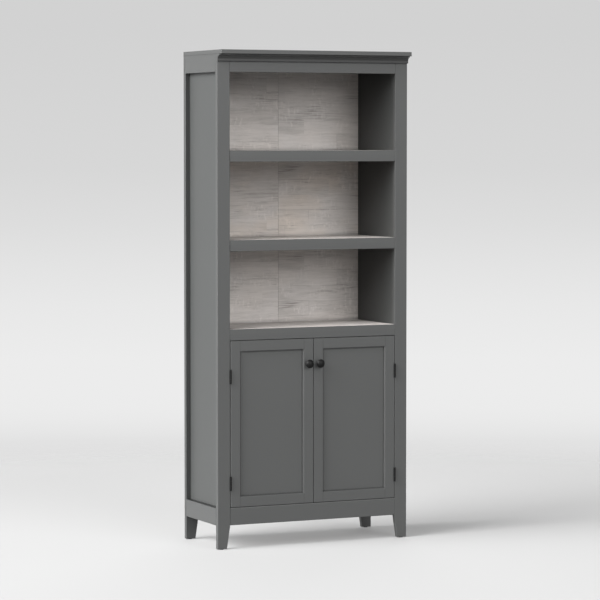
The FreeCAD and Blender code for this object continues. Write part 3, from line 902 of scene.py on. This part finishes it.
# ------------------------------------------------------------------ geometry node trees
class Maker(Graph):
    """Geometry node tree with named inputs, run once to give a plain mesh."""

    def __init__(self, name: str, sizes: dict[str, str]) -> None:
        """Start the tree with its inputs and its output.

        Args:
            name: name of the tree.
            sizes: kinds of the inputs' sockets, by the inputs' names.
        """
        super().__init__(bpy.data.node_groups.new(name, "GeometryNodeTree"))
        face = self.tree.interface
        for label, kind in {"Geometry": "Geometry", **sizes}.items():
            face.new_socket(name=label, in_out="INPUT", socket_type="NodeSocket" + kind)
        face.new_socket(name="Geometry", in_out="OUTPUT", socket_type="NodeSocketGeometry")
        self.entry = self.tree.nodes.new("NodeGroupInput")

    def given(self, name: str) -> Field:
        """One of the tree's inputs."""
        return Field(self, self.entry.outputs[name])

    def moved(self, shape: Field, up: Field) -> Field:
        """A shape moved up its own axis."""
        return self.node("GeometryNodeTransform", None,
                         {"Geometry": shape, "Translation": self.vector(0, 0, up)})

    def drawn(self, low: float, high: float) -> Field:
        """A number between two limits, drawn for each instance from the tree's seed."""
        return self.node("FunctionNodeRandomValue", {"data_type": "FLOAT"},
                         {RANDOM_LOW: low, RANDOM_HIGH: high, "Seed": self.given("Seed")},
                         RANDOM_NUMBER)

    def end(self, geometry: Field) -> None:
        """Realise the instances, set the material and close the tree.

        Args:
            geometry: what the tree has made.
        """
        real = self.node("GeometryNodeRealizeInstances", None, {0: geometry})
        dressed = self.node("GeometryNodeSetMaterial", None,
                            {"Geometry": real, "Material": self.given("Material")})
        self.node("NodeGroupOutput", None, {0: dressed})

    def bake(self, name: str, start: bpy.types.Mesh, values: dict[str, object]) -> bpy.types.Object:
        """Run the tree on a mesh and keep what comes out as a plain object.

        Args:
            name: name of the new object.
            start: mesh that the tree starts from.
            values: the tree's inputs, by name.
        Returns:
            The object, with no modifier on it.
        """
        host = put(name + "_host", start)
        modifier = host.modifiers.new(name, "NODES")
        modifier.node_group = self.tree
        for item in self.tree.interface.items_tree:
            if item.in_out == "INPUT" and item.name in values:
                modifier[item.identifier] = values[item.name]
        graph = bpy.context.evaluated_depsgraph_get()
        mesh = bpy.data.meshes.new_from_object(host.evaluated_get(graph))
        mesh.name = name
        bpy.data.objects.remove(host)
        return put(name, mesh)


class NailRows(Maker):
    """Low domed nail heads at an even pitch along lines, each turned and sized by chance.

    Attributes:
        SHOULDER: radius where the rim meets the dome, as a share of the head's.
        TOP: radius of the dome's flat top, as a share of the head's.
        RIM: height of the rim, as a share of the head's.
        SCALES: smallest and largest nail, against the size that is given.
    """

    SHOULDER = 0.92
    TOP = 0.55
    RIM = 0.45
    SCALES = (0.92, 1.06)

    def __init__(self) -> None:
        """Make the tree."""
        super().__init__("nail_rows", {"Pitch": "Float", "Head Radius": "Float",
                                       "Head Height": "Float", "Seed": "Int",
                                       "Material": "Material"})
        line = self.node("GeometryNodeMeshToCurve", None, {"Mesh": self.given("Geometry")})
        spots = self.node("GeometryNodeResampleCurve", {"mode": "LENGTH"},
                          {"Curve": line, "Length": self.given("Pitch")})
        radius, height = self.given("Head Radius"), self.given("Head Height")
        rim = self.node("GeometryNodeMeshCone", None, {
            "Vertices": 14, "Radius Top": radius * self.SHOULDER, "Radius Bottom": radius,
            "Depth": height * self.RIM})
        dome = self.node("GeometryNodeMeshCone", None, {
            "Vertices": 14, "Radius Top": radius * self.TOP,
            "Radius Bottom": radius * self.SHOULDER, "Depth": height * (1 - self.RIM)})
        head = self.node("GeometryNodeJoinGeometry", None,
                         {0: [rim, self.moved(dome, height * self.RIM)]})
        merged = self.node("GeometryNodeMergeByDistance", None,
                           {"Geometry": head, "Distance": 0.01 * MM})
        spin = self.drawn(0.0, math.tau)
        turn = self.node("FunctionNodeEulerToRotation", None,
                         {0: self.vector(-math.pi / 2, spin, 0)})
        self.end(self.node("GeometryNodeInstanceOnPoints", None, {
            "Points": spots, "Instance": merged, "Rotation": turn,
            "Scale": self.drawn(*self.SCALES)}))


@dataclass(frozen=True)
class ScrewSize:
    """Sizes of one kind of screw, for the tree that makes them.

    Attributes:
        face: radius of the head's face.
        seat: radius of the head where it seats.
        height: height of the head.
        shank: radius of the shank.
        length: length of the shank.
        cross_length: length of the cross recess, as a share of the head's radius.
        cross_width: width of its arms, as a share of the head's radius.
        cross_depth: its depth, as a share of the head's height.
    """

    face: float
    seat: float
    height: float
    shank: float
    length: float
    cross_length: float = 1.15
    cross_width: float = 0.26
    cross_depth: float = 0.6

    def inputs(self, finish: Finish, seed: int) -> dict[str, object]:
        """The tree's inputs for this screw.

        Args:
            finish: finish of the screw.
            seed: start of the draw of the heads' turns.
        Returns:
            The values, by the inputs' names.
        """
        wide = max(self.face, self.seat)
        return {"Face Radius": self.face, "Seat Radius": self.seat, "Head Height": self.height,
                "Shank Radius": self.shank, "Shank Length": self.length,
                "Recess Length": self.cross_length * wide,
                "Recess Width": self.cross_width * wide,
                "Recess Depth": self.cross_depth * self.height, "Seed": seed,
                "Material": finish.material()}


class CrossScrews(Maker):
    """Screws with a cross recess, one at each point, facing the way the point says.

    A head is a cone between its seat radius and its face radius, so the same tree
    makes flush countersunk heads and low pan heads.
    """

    def __init__(self) -> None:
        """Make the tree."""
        sizes = ("Face Radius", "Seat Radius", "Head Height", "Shank Radius", "Shank Length",
                 "Recess Length", "Recess Width", "Recess Depth")
        super().__init__("cross_screws", {**dict.fromkeys(sizes, "Float"), "Seed": "Int",
                                          "Material": "Material"})
        high = self.given("Head Height")
        cone = self.node("GeometryNodeMeshCone", None, {
            "Vertices": 24, "Radius Top": self.given("Face Radius"),
            "Radius Bottom": self.given("Seat Radius"), "Depth": high})
        arms = [self.arm(angle) for angle in (0.0, math.pi / 2)]
        recessed = self.node("GeometryNodeMeshBoolean", {"operation": "DIFFERENCE"},
                             {"Mesh 1": self.moved(cone, high * -1), "Mesh 2": arms})
        length = self.given("Shank Length")
        rod = self.node("GeometryNodeMeshCylinder", None, {
            "Vertices": 12, "Radius": self.given("Shank Radius"), "Depth": length})
        shank = self.moved(rod, (high + length / 2) * -1)
        screw = self.node("GeometryNodeJoinGeometry", None, {0: [recessed, shank]})
        facing = self.node("GeometryNodeInputNamedAttribute", {"data_type": "FLOAT_VECTOR"},
                           {"Name": "facing"})
        upright = self.node("FunctionNodeAlignRotationToVector", {"axis": "Z"},
                            {"Vector": facing})
        twist = self.node("FunctionNodeEulerToRotation", None,
                          {0: self.vector(0, 0, self.drawn(0.0, math.tau))})
        turn = self.node("FunctionNodeRotateRotation", {"rotation_space": "LOCAL"},
                         {0: upright, 1: twist})
        self.end(self.node("GeometryNodeInstanceOnPoints", None, {
            "Points": self.given("Geometry"), "Instance": screw, "Rotation": turn}))

    def arm(self, angle: float) -> Field:
        """One arm of the cross, a bar that stands half out of the head's face.

        Args:
            angle: the bar's turn about the screw.
        Returns:
            The bar.
        """
        bar = self.node("GeometryNodeMeshCube", None, {"Size": self.vector(
            self.given("Recess Length"), self.given("Recess Width"),
            self.given("Recess Depth") * 2)})
        return self.node("GeometryNodeTransform", None,
                         {"Geometry": bar, "Rotation": (0, 0, angle)})

    def drive(self, name: str, spots: Iterable[Vector], facing: Vector, size: ScrewSize,
              finish: Finish, seed: int) -> bpy.types.Object:
        """Make screws that all face one way.

        Args:
            name: name of the new object.
            spots: centres of the heads' faces.
            facing: the way that the heads face.
            size: the kind of screw.
            finish: finish of the screws.
            seed: start of the draw of the heads' turns.
        Returns:
            The screws as one object.
        """
        mesh = bpy.data.meshes.new("spots")
        mesh.from_pydata([tuple(spot) for spot in spots], [], [])
        for item in mesh.attributes.new("facing", "FLOAT_VECTOR", "POINT").data:
            item.vector = facing
        return self.bake(name, mesh, size.inputs(finish, seed))


LEAF_SCREW = ScrewSize(face=2.3 * MM, seat=1.5 * MM, height=0.8 * MM, shank=1.5 * MM,
                       length=12.2 * MM)
LEAF_SPACING = 30 * MM  # between the two screws of a leaf


def hinge_spots(box: tuple[Vector, Vector], face: float) -> list[Vector]:
    """Centres of the screws of two leaves on one post, two in each.

    Args:
        box: corners of the box round all four.
        face: X of the screws' faces.
    Returns:
        The four centres, from the bottom.
    """
    low, high = box
    first, last = low.z + LEAF_SCREW.face, high.z - LEAF_SCREW.face
    levels = (first, first + LEAF_SPACING, last - LEAF_SPACING, last)
    return [Vector((face, (low.y + high.y) / 2, level)) for level in levels]


# ------------------------------------------------------------------ sub-assemblies
@dataclass
class Assembly:
    """What every sub-assembly shares.

    Attributes:
        nodes: the frame's solids, by name.
        count: pieces dressed or made so far.
    """

    nodes: dict[str, bpy.types.Object]
    count: int = 0

    def dress(self, finish: Finish, *names: str) -> None:
        """Put a finish on solids of the frame."""
        finish.dress(*(self.nodes[name] for name in names))
        self.count += len(names)

    def add(self, piece: bpy.types.Object, body: str, finish: Finish,
            stands_for: Sequence[str] = ()) -> None:
        """Hang a new piece on a body.

        Args:
            piece: the finished object.
            body: body that it moves with.
            finish: finish that it wears; not used.
            stands_for: solids that it takes the place of.
        """
        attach(piece, body)
        if stands_for:
            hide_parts(*stands_for)
        self.count += 1

    def build(self) -> None:
        """Dress the solids and make the small pieces."""
        raise NotImplementedError


@dataclass
class Case(Assembly):
    """Posts, rails, sides, top and crown.

    Attributes:
        foot_line: half the height of the painted shade on the ledge of the side bottom rails.
        panel_line: half the height of the painted shade at a side panel's foot.
        post_line: half the width of the painted shade beside a rear post.
        inner_line: half the width of the painted shade over a side panel's inner face.
        seat_line: half the height of the joint and painted shade under the top board.
        cove: bands of painted shade in the crown, each by its height over the toe, half
        its height and its depth.
        arris: half the height of the painted highlight on the front bottom rail's top edge.
    """

    foot_line: float = 0.6 * MM
    panel_line: float = 2.0 * MM
    post_line: float = 6.0 * MM
    inner_line: float = 1.0 * MM
    seat_line: float = 1.6 * MM
    cove: tuple[tuple[float, float, float], ...] = (
        (7.0 * MM, 7.0 * MM, 0.68), (16.5 * MM, 3.5 * MM, 0.45))
    arris: float = 2.4 * MM

    def build(self) -> None:
        """Dress every painted board along its own run."""
        self.paint_sides()
        self.paint_top()
        self.paint_front()
        self.dress(GLIDE_PLASTIC, "foot_glides")

    def paint_sides(self) -> None:
        """Posts, side rails and side panels, with painted shade on the ledges and round the panels.
        """
        for side in ("left", "right"):
            self.dress(FRAME_PAINT[Run.ALONG_Z], "front_stile_" + side)
            self.dress(REAR_SHADED_PAINT, "rear_stile_" + side)
            self.dress(FRAME_PAINT[Run.ALONG_Y], "side_top_rail_" + side)
        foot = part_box("side_bottom_rail_left")[1].z
        # Painted shade on the ledge of the side bottom rails.
        sill = ShadeOrJointLine(Z, foot, self.foot_line, depth=0.75)
        self.dress(lined(Run.ALONG_Y, "side_foot_paint", sill),
                   "side_bottom_rail_left", "side_bottom_rail_right")
        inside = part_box("side_panel_right")[0].x
        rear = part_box("rear_stile_left")[0].y
        # These lines are painted shade: at the panels' feet, beside the rear posts and over their
        # inner faces.
        joints = (ShadeOrJointLine(Z, foot, self.panel_line, depth=0.75),
                  ShadeOrJointLine(Y, rear, self.post_line, depth=0.5),
                  ShadeOrJointLine(X, -inside, self.inner_line, depth=0.18),
                  ShadeOrJointLine(X, inside, self.inner_line, depth=0.18))
        self.dress(replace(SIDE_PAINT, lines=joints), "side_panel_left", "side_panel_right")

    def paint_top(self) -> None:
        """Top board, rear rails and crown, with painted shade under the top and in the cove."""
        seat, face = (corner.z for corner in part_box("top_panel"))
        # Joint and painted shade under the top board.
        shade = ShadeOrJointLine(Z, seat, self.seat_line, depth=0.8)
        self.dress(lined(Run.ALONG_X, "top_paint", shade, flat=face), "top_panel")
        self.dress(FRAME_PAINT[Run.ALONG_X], "rear_top_rail", "rear_bottom_rail")
        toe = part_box("crown_moulding")[0].z
        # Bands of painted shade in the crown's cove.
        shades = (ShadeOrJointLine(Z, toe + rise, half, depth) for rise, half, depth in self.cove)
        self.dress(lined(Run.ALONG_X, "crown_paint", *shades), "crown_moulding")

    def paint_front(self) -> None:
        """Front rails and the fixed shelf's edge; joints at the posts, a painted highlight."""
        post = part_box("front_stile_right")[0].x
        ends = (ShadeOrJointLine(X, -post), ShadeOrJointLine(X, post))
        self.dress(lined(Run.ALONG_X, "front_rail_paint", *ends),
                   "front_top_rail", "fixed_shelf_apron")
        # Painted highlight along the front bottom rail's top edge.
        arris = ShadeOrJointLine(Z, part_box("front_bottom_rail")[1].z, self.arris, depth=-0.45)
        self.dress(lined(Run.ALONG_X, "front_foot_paint", *ends, arris), "front_bottom_rail")


@dataclass
class Back(Assembly):
    """Two thin leaves nailed into the posts, the top rail and the shelf edges.

    Attributes:
        inset: distance of the nails from the leaf's outer edge.
        clear: distance of the nails from the seam of the leaves.
        pitch: distance between nails.
        head_radius: radius of a nail head.
        head_height: height that a head stands proud.
    """

    inset: float = 4 * MM
    clear: float = 18 * MM
    pitch: float = 120 * MM
    head_radius: float = 2.6 * MM
    head_height: float = 0.7 * MM

    def build(self) -> None:
        """Dress the leaves and nail them."""
        shelves = ("fixed_shelf_board", "lower_shelf_board", "upper_shelf_board")
        # The leaves get painted shade at the heights of the shelves.
        self.dress(replace(BACK_OAK, middle=centre("back_panel_left").y,
                           corners=tuple(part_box(name)[1].z for name in shelves)),
                   "back_panel_left", "back_panel_right")
        mesh = bpy.data.meshes.new("nail_lines")
        ends = [tuple(end) for line in self.lines() for end in line]
        mesh.from_pydata(ends, [(i, i + 1) for i in range(0, len(ends), 2)], [])
        nails = NailRows().bake("back_nails", mesh, {
            "Pitch": self.pitch, "Head Radius": self.head_radius,
            "Head Height": self.head_height, "Seed": 11, "Material": ZINC.material()})
        self.add(nails, "case", ZINC)

    def lines(self) -> list[tuple[Vector, Vector]]:
        """The rows of nails, on the back face of the leaves.

        Returns:
            The two ends of each row.
        """
        low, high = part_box("back_panel_left")
        floor, shelf, rail = (centre(name).z for name in (
            "cabinet_floor", "fixed_shelf_board", "rear_top_rail"))
        rows = []
        for side in (-1, 1):
            outer = side * (abs(low.x) - self.inset)
            rows.append((Vector((outer, high.y, floor)), Vector((outer, high.y, rail))))
            for level in (floor, shelf, rail):
                start = Vector((outer - side * self.pitch, high.y, level))
                rows.append((start, Vector((side * self.clear, high.y, level))))
        return rows


@dataclass
class Shelves(Assembly):
    """Fixed shelf, two loose shelves, the cabinet's shelf and floor, and their supports.

    Attributes:
        ease: depth of the eased front edge, which is painted.
    """

    ease: float = 1.2 * MM

    def build(self) -> None:
        """Dress the boards: washed faces, painted front edges."""
        for name in ("fixed_shelf_board", "upper_shelf_board", "lower_shelf_board"):
            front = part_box(name)[0].y
            self.dress(FacedOak(name + "_finish", OAK.slot, edge=front + self.ease), name)
        self.dress(OAK, "cabinet_shelf", "cabinet_floor")
        self.dress(FRAME_PAINT[Run.ALONG_X], "upper_shelf_apron", "lower_shelf_apron")
        self.dress(ZINC, "shelf_pins")


@dataclass
class Door(Assembly):
    """One framed door with its knob, strike plate and hinge leaves.

    Attributes:
        hand: which door.
        stick: width of the bevel round the panel.
        rail_lines: half the widths of the rails' joints, on the left and on the right.
        sill_line: half the height of the painted shade along the bottom rail's top edge.
        panel_lines: half the widths of the painted shades at the panel's foot and right edge.
        edge_line: half the width of a painted shade on the right-hand stile's bevel.
        edge_shades: those shades, each by its distance from the panel and its depth.
        arris: half the width of the painted highlight on the edge beside the hinges.
        hinge_screw: countersunk screws of the hinge leaves.
        knob_screw: pan-headed screw that holds the knob.
        strike_screw: flat screw of the strike plate.
        strike_proud: how far that stands out of the plate, as a share of its head.
    """

    hand: Hand = Hand.LEFT
    stick: float = 4.5 * MM
    rail_lines: tuple[float, float] = (1.0 * MM, 1.1 * MM)
    sill_line: float = 1.6 * MM
    panel_lines: tuple[float, float] = (1.4 * MM, 1.2 * MM)
    edge_line: float = 1.2 * MM
    edge_shades: tuple[tuple[float, float], ...] = ((1.0 * MM, 0.5), (3.4 * MM, 0.25))
    arris: float = 2.4 * MM
    hinge_screw: ScrewSize = LEAF_SCREW
    knob_screw: ScrewSize = ScrewSize(face=2.9 * MM, seat=4.0 * MM, height=2.0 * MM,
                                      shank=1.95 * MM, length=27 * MM)
    strike_screw: ScrewSize = ScrewSize(face=2.6 * MM, seat=3.0 * MM, height=0.5 * MM,
                                        shank=1.4 * MM, length=9 * MM)
    strike_proud: float = 0.4

    def own(self, word: str = "") -> str:
        """Name of this door's body, or of one of its pieces."""
        return "_".join(filter(None, (self.hand.word, "door", word)))

    def build(self) -> None:
        """Dress the frame and panel, and screw the hardware on."""
        self.paint_frame()
        self.dress(KNOB_BRONZE, self.own("knob"))
        self.dress(ZINC, self.own("strike_plate"))
        self.dress(HINGE_BLACK, self.own("hinge_leaves"))
        self.drive_screws()

    def drive_screws(self) -> None:
        """Make the screws of the hinge leaves, the knob and the strike plate."""
        screws = CrossScrews()
        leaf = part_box(self.own("hinge_screws"))
        face = leaf[0].x if self.hand is Hand.LEFT else leaf[1].x
        self.add(screws.drive(self.own("hinge_screw_heads"), hinge_spots(leaf, face),
                              Vector((self.hand.value, 0, 0)), self.hinge_screw, HINGE_BLACK,
                              seed=5), self.own(), HINGE_BLACK, [self.own("hinge_screws")])
        spot = rear_face(self.own("knob_screw"))
        self.add(screws.drive(self.own("knob_screw_head"), [spot], BACKWARDS,
                              self.knob_screw, ZINC, seed=7),
                 self.own(), ZINC, [self.own("knob_screw")])
        spot = rear_face(self.own("strike_plate"), self.strike_screw.height * self.strike_proud)
        self.add(screws.drive(self.own("strike_screw"), [spot], BACKWARDS,
                              self.strike_screw, ZINC, seed=9), self.own(), ZINC)

    def paint_frame(self) -> None:
        """Dress rails, panel and stiles: open joints where they meet, painted shade and highlight.
        """
        ends = [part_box(self.own(word + "_stile")) for word in ("hinge", "meeting")]
        left, right = sorted(ends, key=lambda box: box[0].x)
        low, high = left[1].x, right[0].x
        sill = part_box(self.own("bottom_rail"))[1].z
        # The rails' joints with the stiles, and painted shade along the bottom rail's top edge.
        rails = lined(Run.ALONG_X, self.own("rail_paint"),
                      ShadeOrJointLine(X, low - self.stick, self.rail_lines[0], depth=0.75),
                      ShadeOrJointLine(X, high + self.stick, self.rail_lines[1], depth=0.8),
                      ShadeOrJointLine(Z, sill - self.sill_line, self.sill_line, depth=0.55))
        self.dress(rails, self.own("top_rail"), self.own("bottom_rail"))
        # Painted shade along the panel's foot and right edge.
        panel = SatinPaint(self.own("panel_paint"), PAINT, Run.ALONG_Z, stroke=0.02, lines=(
            ShadeOrJointLine(Z, sill, self.panel_lines[0], depth=0.6),
            ShadeOrJointLine(X, high, self.panel_lines[1], depth=0.7)))
        self.dress(panel, self.own("panel"))
        outer = left[0].x if self.hand is Hand.LEFT else right[1].x
        # Painted shade on the right-hand stile's bevel, and a painted highlight on the hinge edge.
        shaded = tuple(ShadeOrJointLine(X, high + off, self.edge_line, depth)
                       for off, depth in self.edge_shades)
        lit = (ShadeOrJointLine(X, outer, self.arris, depth=-0.45),)
        for word, box in zip(("hinge", "meeting"), ends):
            lines = (shaded if box is right else ()) + (lit if word == "hinge" else ())
            self.dress(lined(Run.ALONG_Z, self.own(word + "_paint"), *lines),
                       self.own(word + "_stile"))


@dataclass
class HingesAndCatch(Assembly):
    """What the doors leave on the case: leaves, pins, screws and the magnetic catch.

    Attributes:
        hinge_screw: countersunk screws of the case leaves.
        catch_screw: pan-headed screws of the catch.
        screw_spread: distance between the two catch screws.
        screw_drop: distance of the catch screws from the catch's top.
    """

    hinge_screw: ScrewSize = LEAF_SCREW
    catch_screw: ScrewSize = ScrewSize(face=2.2 * MM, seat=3.0 * MM, height=1.4 * MM,
                                       shank=1.4 * MM, length=12 * MM)
    screw_spread: float = 64 * MM
    screw_drop: float = 8 * MM

    def build(self) -> None:
        """Dress the hardware and make its screws."""
        self.dress(HINGE_BLACK, "hinge_case_leaves", "hinge_pins")
        self.dress(CATCH_PLASTIC, "door_catch")
        self.dress(MAGNET, "catch_magnets")
        screws = CrossScrews()
        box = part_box("hinge_case_screws")
        depth = self.hinge_screw.height + self.hinge_screw.length
        made = [screws.drive("case_screws", hinge_spots(box, side * (box[1].x - depth)),
                             Vector((-side, 0, 0)), self.hinge_screw, HINGE_BLACK, seed=3)
                for side in (-1, 1)]
        self.add(join("hinge_case_screw_heads", made), "case", HINGE_BLACK,
                 ["hinge_case_screws"])
        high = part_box("door_catch")[1]
        spots = [Vector((side * self.screw_spread / 2, high.y + self.catch_screw.height,
                         high.z - self.screw_drop)) for side in (-1, 1)]
        self.add(screws.drive("catch_screws", spots, BACKWARDS, self.catch_screw, ZINC,
                              seed=2), "case", ZINC)


# ------------------------------------------------------------------ studio
@dataclass(frozen=True)
class Lamp:
    """A round soft box that faces the middle of the case.

    Attributes:
        name: what the lamp does.
        azimuth: degrees from the front towards the left of the case.
        elevation: degrees above the middle of the case.
        spread: degrees that it fills, as the case sees it.
        strength: light that it gives there to a surface that faces it.
        distance: metres from the middle of the case.
    """

    name: str
    azimuth: float
    elevation: float
    spread: float
    strength: float
    distance: float = 25.0

    def hang(self) -> None:
        """Add the lamp to the scene, out of the camera's sight."""
        half = math.radians(self.spread / 2)
        data = bpy.data.lights.new(self.name, "AREA")
        data.shape = "DISK"
        data.size = 2 * self.distance * math.tan(half)
        data.energy = self.strength * (math.pi * self.distance / math.cos(half)) ** 2
        turn, rise = math.radians(self.azimuth), math.radians(self.elevation)
        away = Vector((-math.sin(turn) * math.cos(rise), -math.cos(turn) * math.cos(rise),
                       math.sin(rise)))
        lamp = put(self.name, data)
        lamp.location = Vector((0, 0, CASE_MIDDLE)) + away * self.distance
        lamp.rotation_euler = away.to_track_quat("Z", "Y").to_euler()
        lamp.visible_camera = False


@dataclass
class Studio:
    """Camera, floor, backdrop and lamps.

    Attributes:
        eye: place of the camera.
        heading: degrees that the view turns from the case's depth towards its right.
        dip: degrees that the view looks down.
        focal: focal length on a 36 mm frame.
        shift: vertical shift of the frame.
        floor_tone: colour of the floor.
        floor_glow: light that the floor gives by itself, a painted glow that lifts the shadows on
            it.
        dim: radii where the floor starts to darken outwards and where it has.
        dimming: how much darker it is there.
        fade: radii where the floor starts to fade and where it ends.
        rim: width of the clear rim outside that.
        paper: greys of the backdrop, by the upward part of the line of sight.
        lamps: the soft boxes.
    """

    eye: tuple[float, float, float] = (-4.3654, -9.3327, 1.5038)
    heading: float = 25.1155
    dip: float = 3.1963
    focal: float = 165.0223
    shift: float = -0.012
    floor_tone: Tone = Tone(137.3, 137.3, 137.3)
    floor_glow: float = 0.202
    dim: tuple[float, float] = (0.9, 2.4)
    dimming: float = 0.04
    fade: tuple[float, float] = (2.3, 3.5)
    rim: float = 0.1
    paper: tuple[tuple[float, float], ...] = (
        (-0.16, 236), (-0.1387, 230), (-0.1224, 223), (-0.1151, 223), (-0.1091, 226.2),
        (-0.1057, 230.2), (-0.1017, 233.4), (-0.0973, 235.4), (-0.0919, 236), (-0.0796, 236),
        (-0.0599, 232), (-0.0451, 227), (-0.0303, 221), (-0.0106, 215), (0.04, 210))
    lamps: tuple[Lamp, ...] = (
        Lamp("left_box", 85, 25, 50, 1.760),
        Lamp("high_left_box", 70, 40, 50, 0.824),
        Lamp("rear_right_box", -150, 15, 45, 0.781),
        Lamp("front_box", -10, 25, 40, 0.636),
        Lamp("small_left_box", 90, 30, 20, 0.430),
        Lamp("rear_left_box", 100, 25, 50, 0.388),
        Lamp("small_high_box", 75, 45, 20, 0.363),
        Lamp("small_front_left_box", 75, 30, 20, 0.082),
        Lamp("near_right_box", -15, 15, 38, 0.079, distance=4),
    )

    def build(self) -> None:
        """Set up the whole studio."""
        self.camera()
        self.floor()
        self.backdrop()
        for lamp in self.lamps:
            lamp.hang()
        bpy.context.scene.view_settings.view_transform = "Standard"

    def camera(self) -> None:
        """Camera with a long lens, almost level."""
        data = bpy.data.cameras.new("camera")
        data.lens = self.focal
        data.shift_y = self.shift
        data.clip_end = 60
        camera = put("camera", data)
        camera.location = self.eye
        camera.rotation_euler = (math.radians(90 - self.dip), 0, -math.radians(self.heading))
        bpy.context.scene.camera = camera

    def floor(self) -> None:
        """Pale round floor that fades into the backdrop and is clear from below."""
        shape = bmesh.new()
        bmesh.ops.create_circle(shape, cap_ends=True, segments=96,
                                radius=self.fade[1] + self.rim)
        plate = put("studio_floor", mesh_of("studio_floor", shape))
        made = bpy.data.materials.new("studio_floor")
        s = emptied(made)
        x, y, _ = s.place()
        reach = s.length(s.vector(x, y, 0))
        grain = s.noise(s.vector(x, y, 0), scale=700)
        tone = s.shade(self.floor_tone.linear,
                       1 - reach.rise(*self.dim) * self.dimming + (grain - 0.5) * 0.01)
        matt = s.node("ShaderNodeBsdfDiffuse", None, {"Color": tone})
        # Painted glow: the floor shines by itself, which lifts its shadows and lights the case from
        # below.
        lit = s.node("ShaderNodeEmission", None, {"Strength": self.floor_glow})
        solid = s.node("ShaderNodeAddShader", None, {0: matt, 1: lit})
        clear = s.node("ShaderNodeBsdfTransparent")
        under = s.node("ShaderNodeNewGeometry", output="Backfacing")
        hidden = reach.rise(*self.fade).larger(under)
        surface = s.node("ShaderNodeMixShader", None, {0: hidden, 1: solid, 2: clear})
        s.node("ShaderNodeOutputMaterial", None, {"Surface": surface})
        plate.data.materials.append(made)

    def backdrop(self) -> None:
        """World: a graded paper backdrop to the eye and to mirror light, else dark."""
        world = bpy.data.worlds.new("studio")
        bpy.context.scene.world = world
        s = emptied(world)
        way = s.node("ShaderNodeTexCoord", output="Generated")
        up = s.node("ShaderNodeSeparateXYZ", None, {0: way}, Z)
        low, high = self.paper[0][0], self.paper[-1][0]
        stops = [((at - low) / (high - low), Tone(grey, grey, grey).linear)
                 for at, grey in self.paper]
        span = s.node("ShaderNodeMapRange", None, {"Value": up, "From Min": low,
                                                   "From Max": high})
        tone = s.node("ShaderNodeValToRGB", {"stops": stops}, {0: span})
        sheet = s.node("ShaderNodeBackground", None, {"Color": tone, "Strength": 1.0})
        eye, gloss, glass = (s.node("ShaderNodeLightPath", output=f"Is {ray} Ray")
                             for ray in ("Camera", "Glossy", "Transmission"))
        seen = s.node("ShaderNodeMixShader", None,
                      {0: eye.larger(gloss).larger(glass), 2: sheet})
        s.node("ShaderNodeOutputWorld", None, {"Surface": seen})


def clear_scene() -> None:
    """Remove whatever the file opened with."""
    for item in list(bpy.data.objects):
        bpy.data.objects.remove(item)


def main() -> None:
    """Load the frame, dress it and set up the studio."""
    logging.basicConfig(level=logging.INFO, format="%(name)s: %(message)s")
    clear_scene()
    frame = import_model()
    Studio().build()
    nodes = frame["nodes"]
    for part in (Case(nodes), Back(nodes), Shelves(nodes), Door(nodes, hand=Hand.LEFT),
                 Door(nodes, hand=Hand.RIGHT), HingesAndCatch(nodes)):
        part.build()
        LOG.info("%s: %d pieces", type(part).__name__, part.count)


if __name__ == "__main__":
    main()
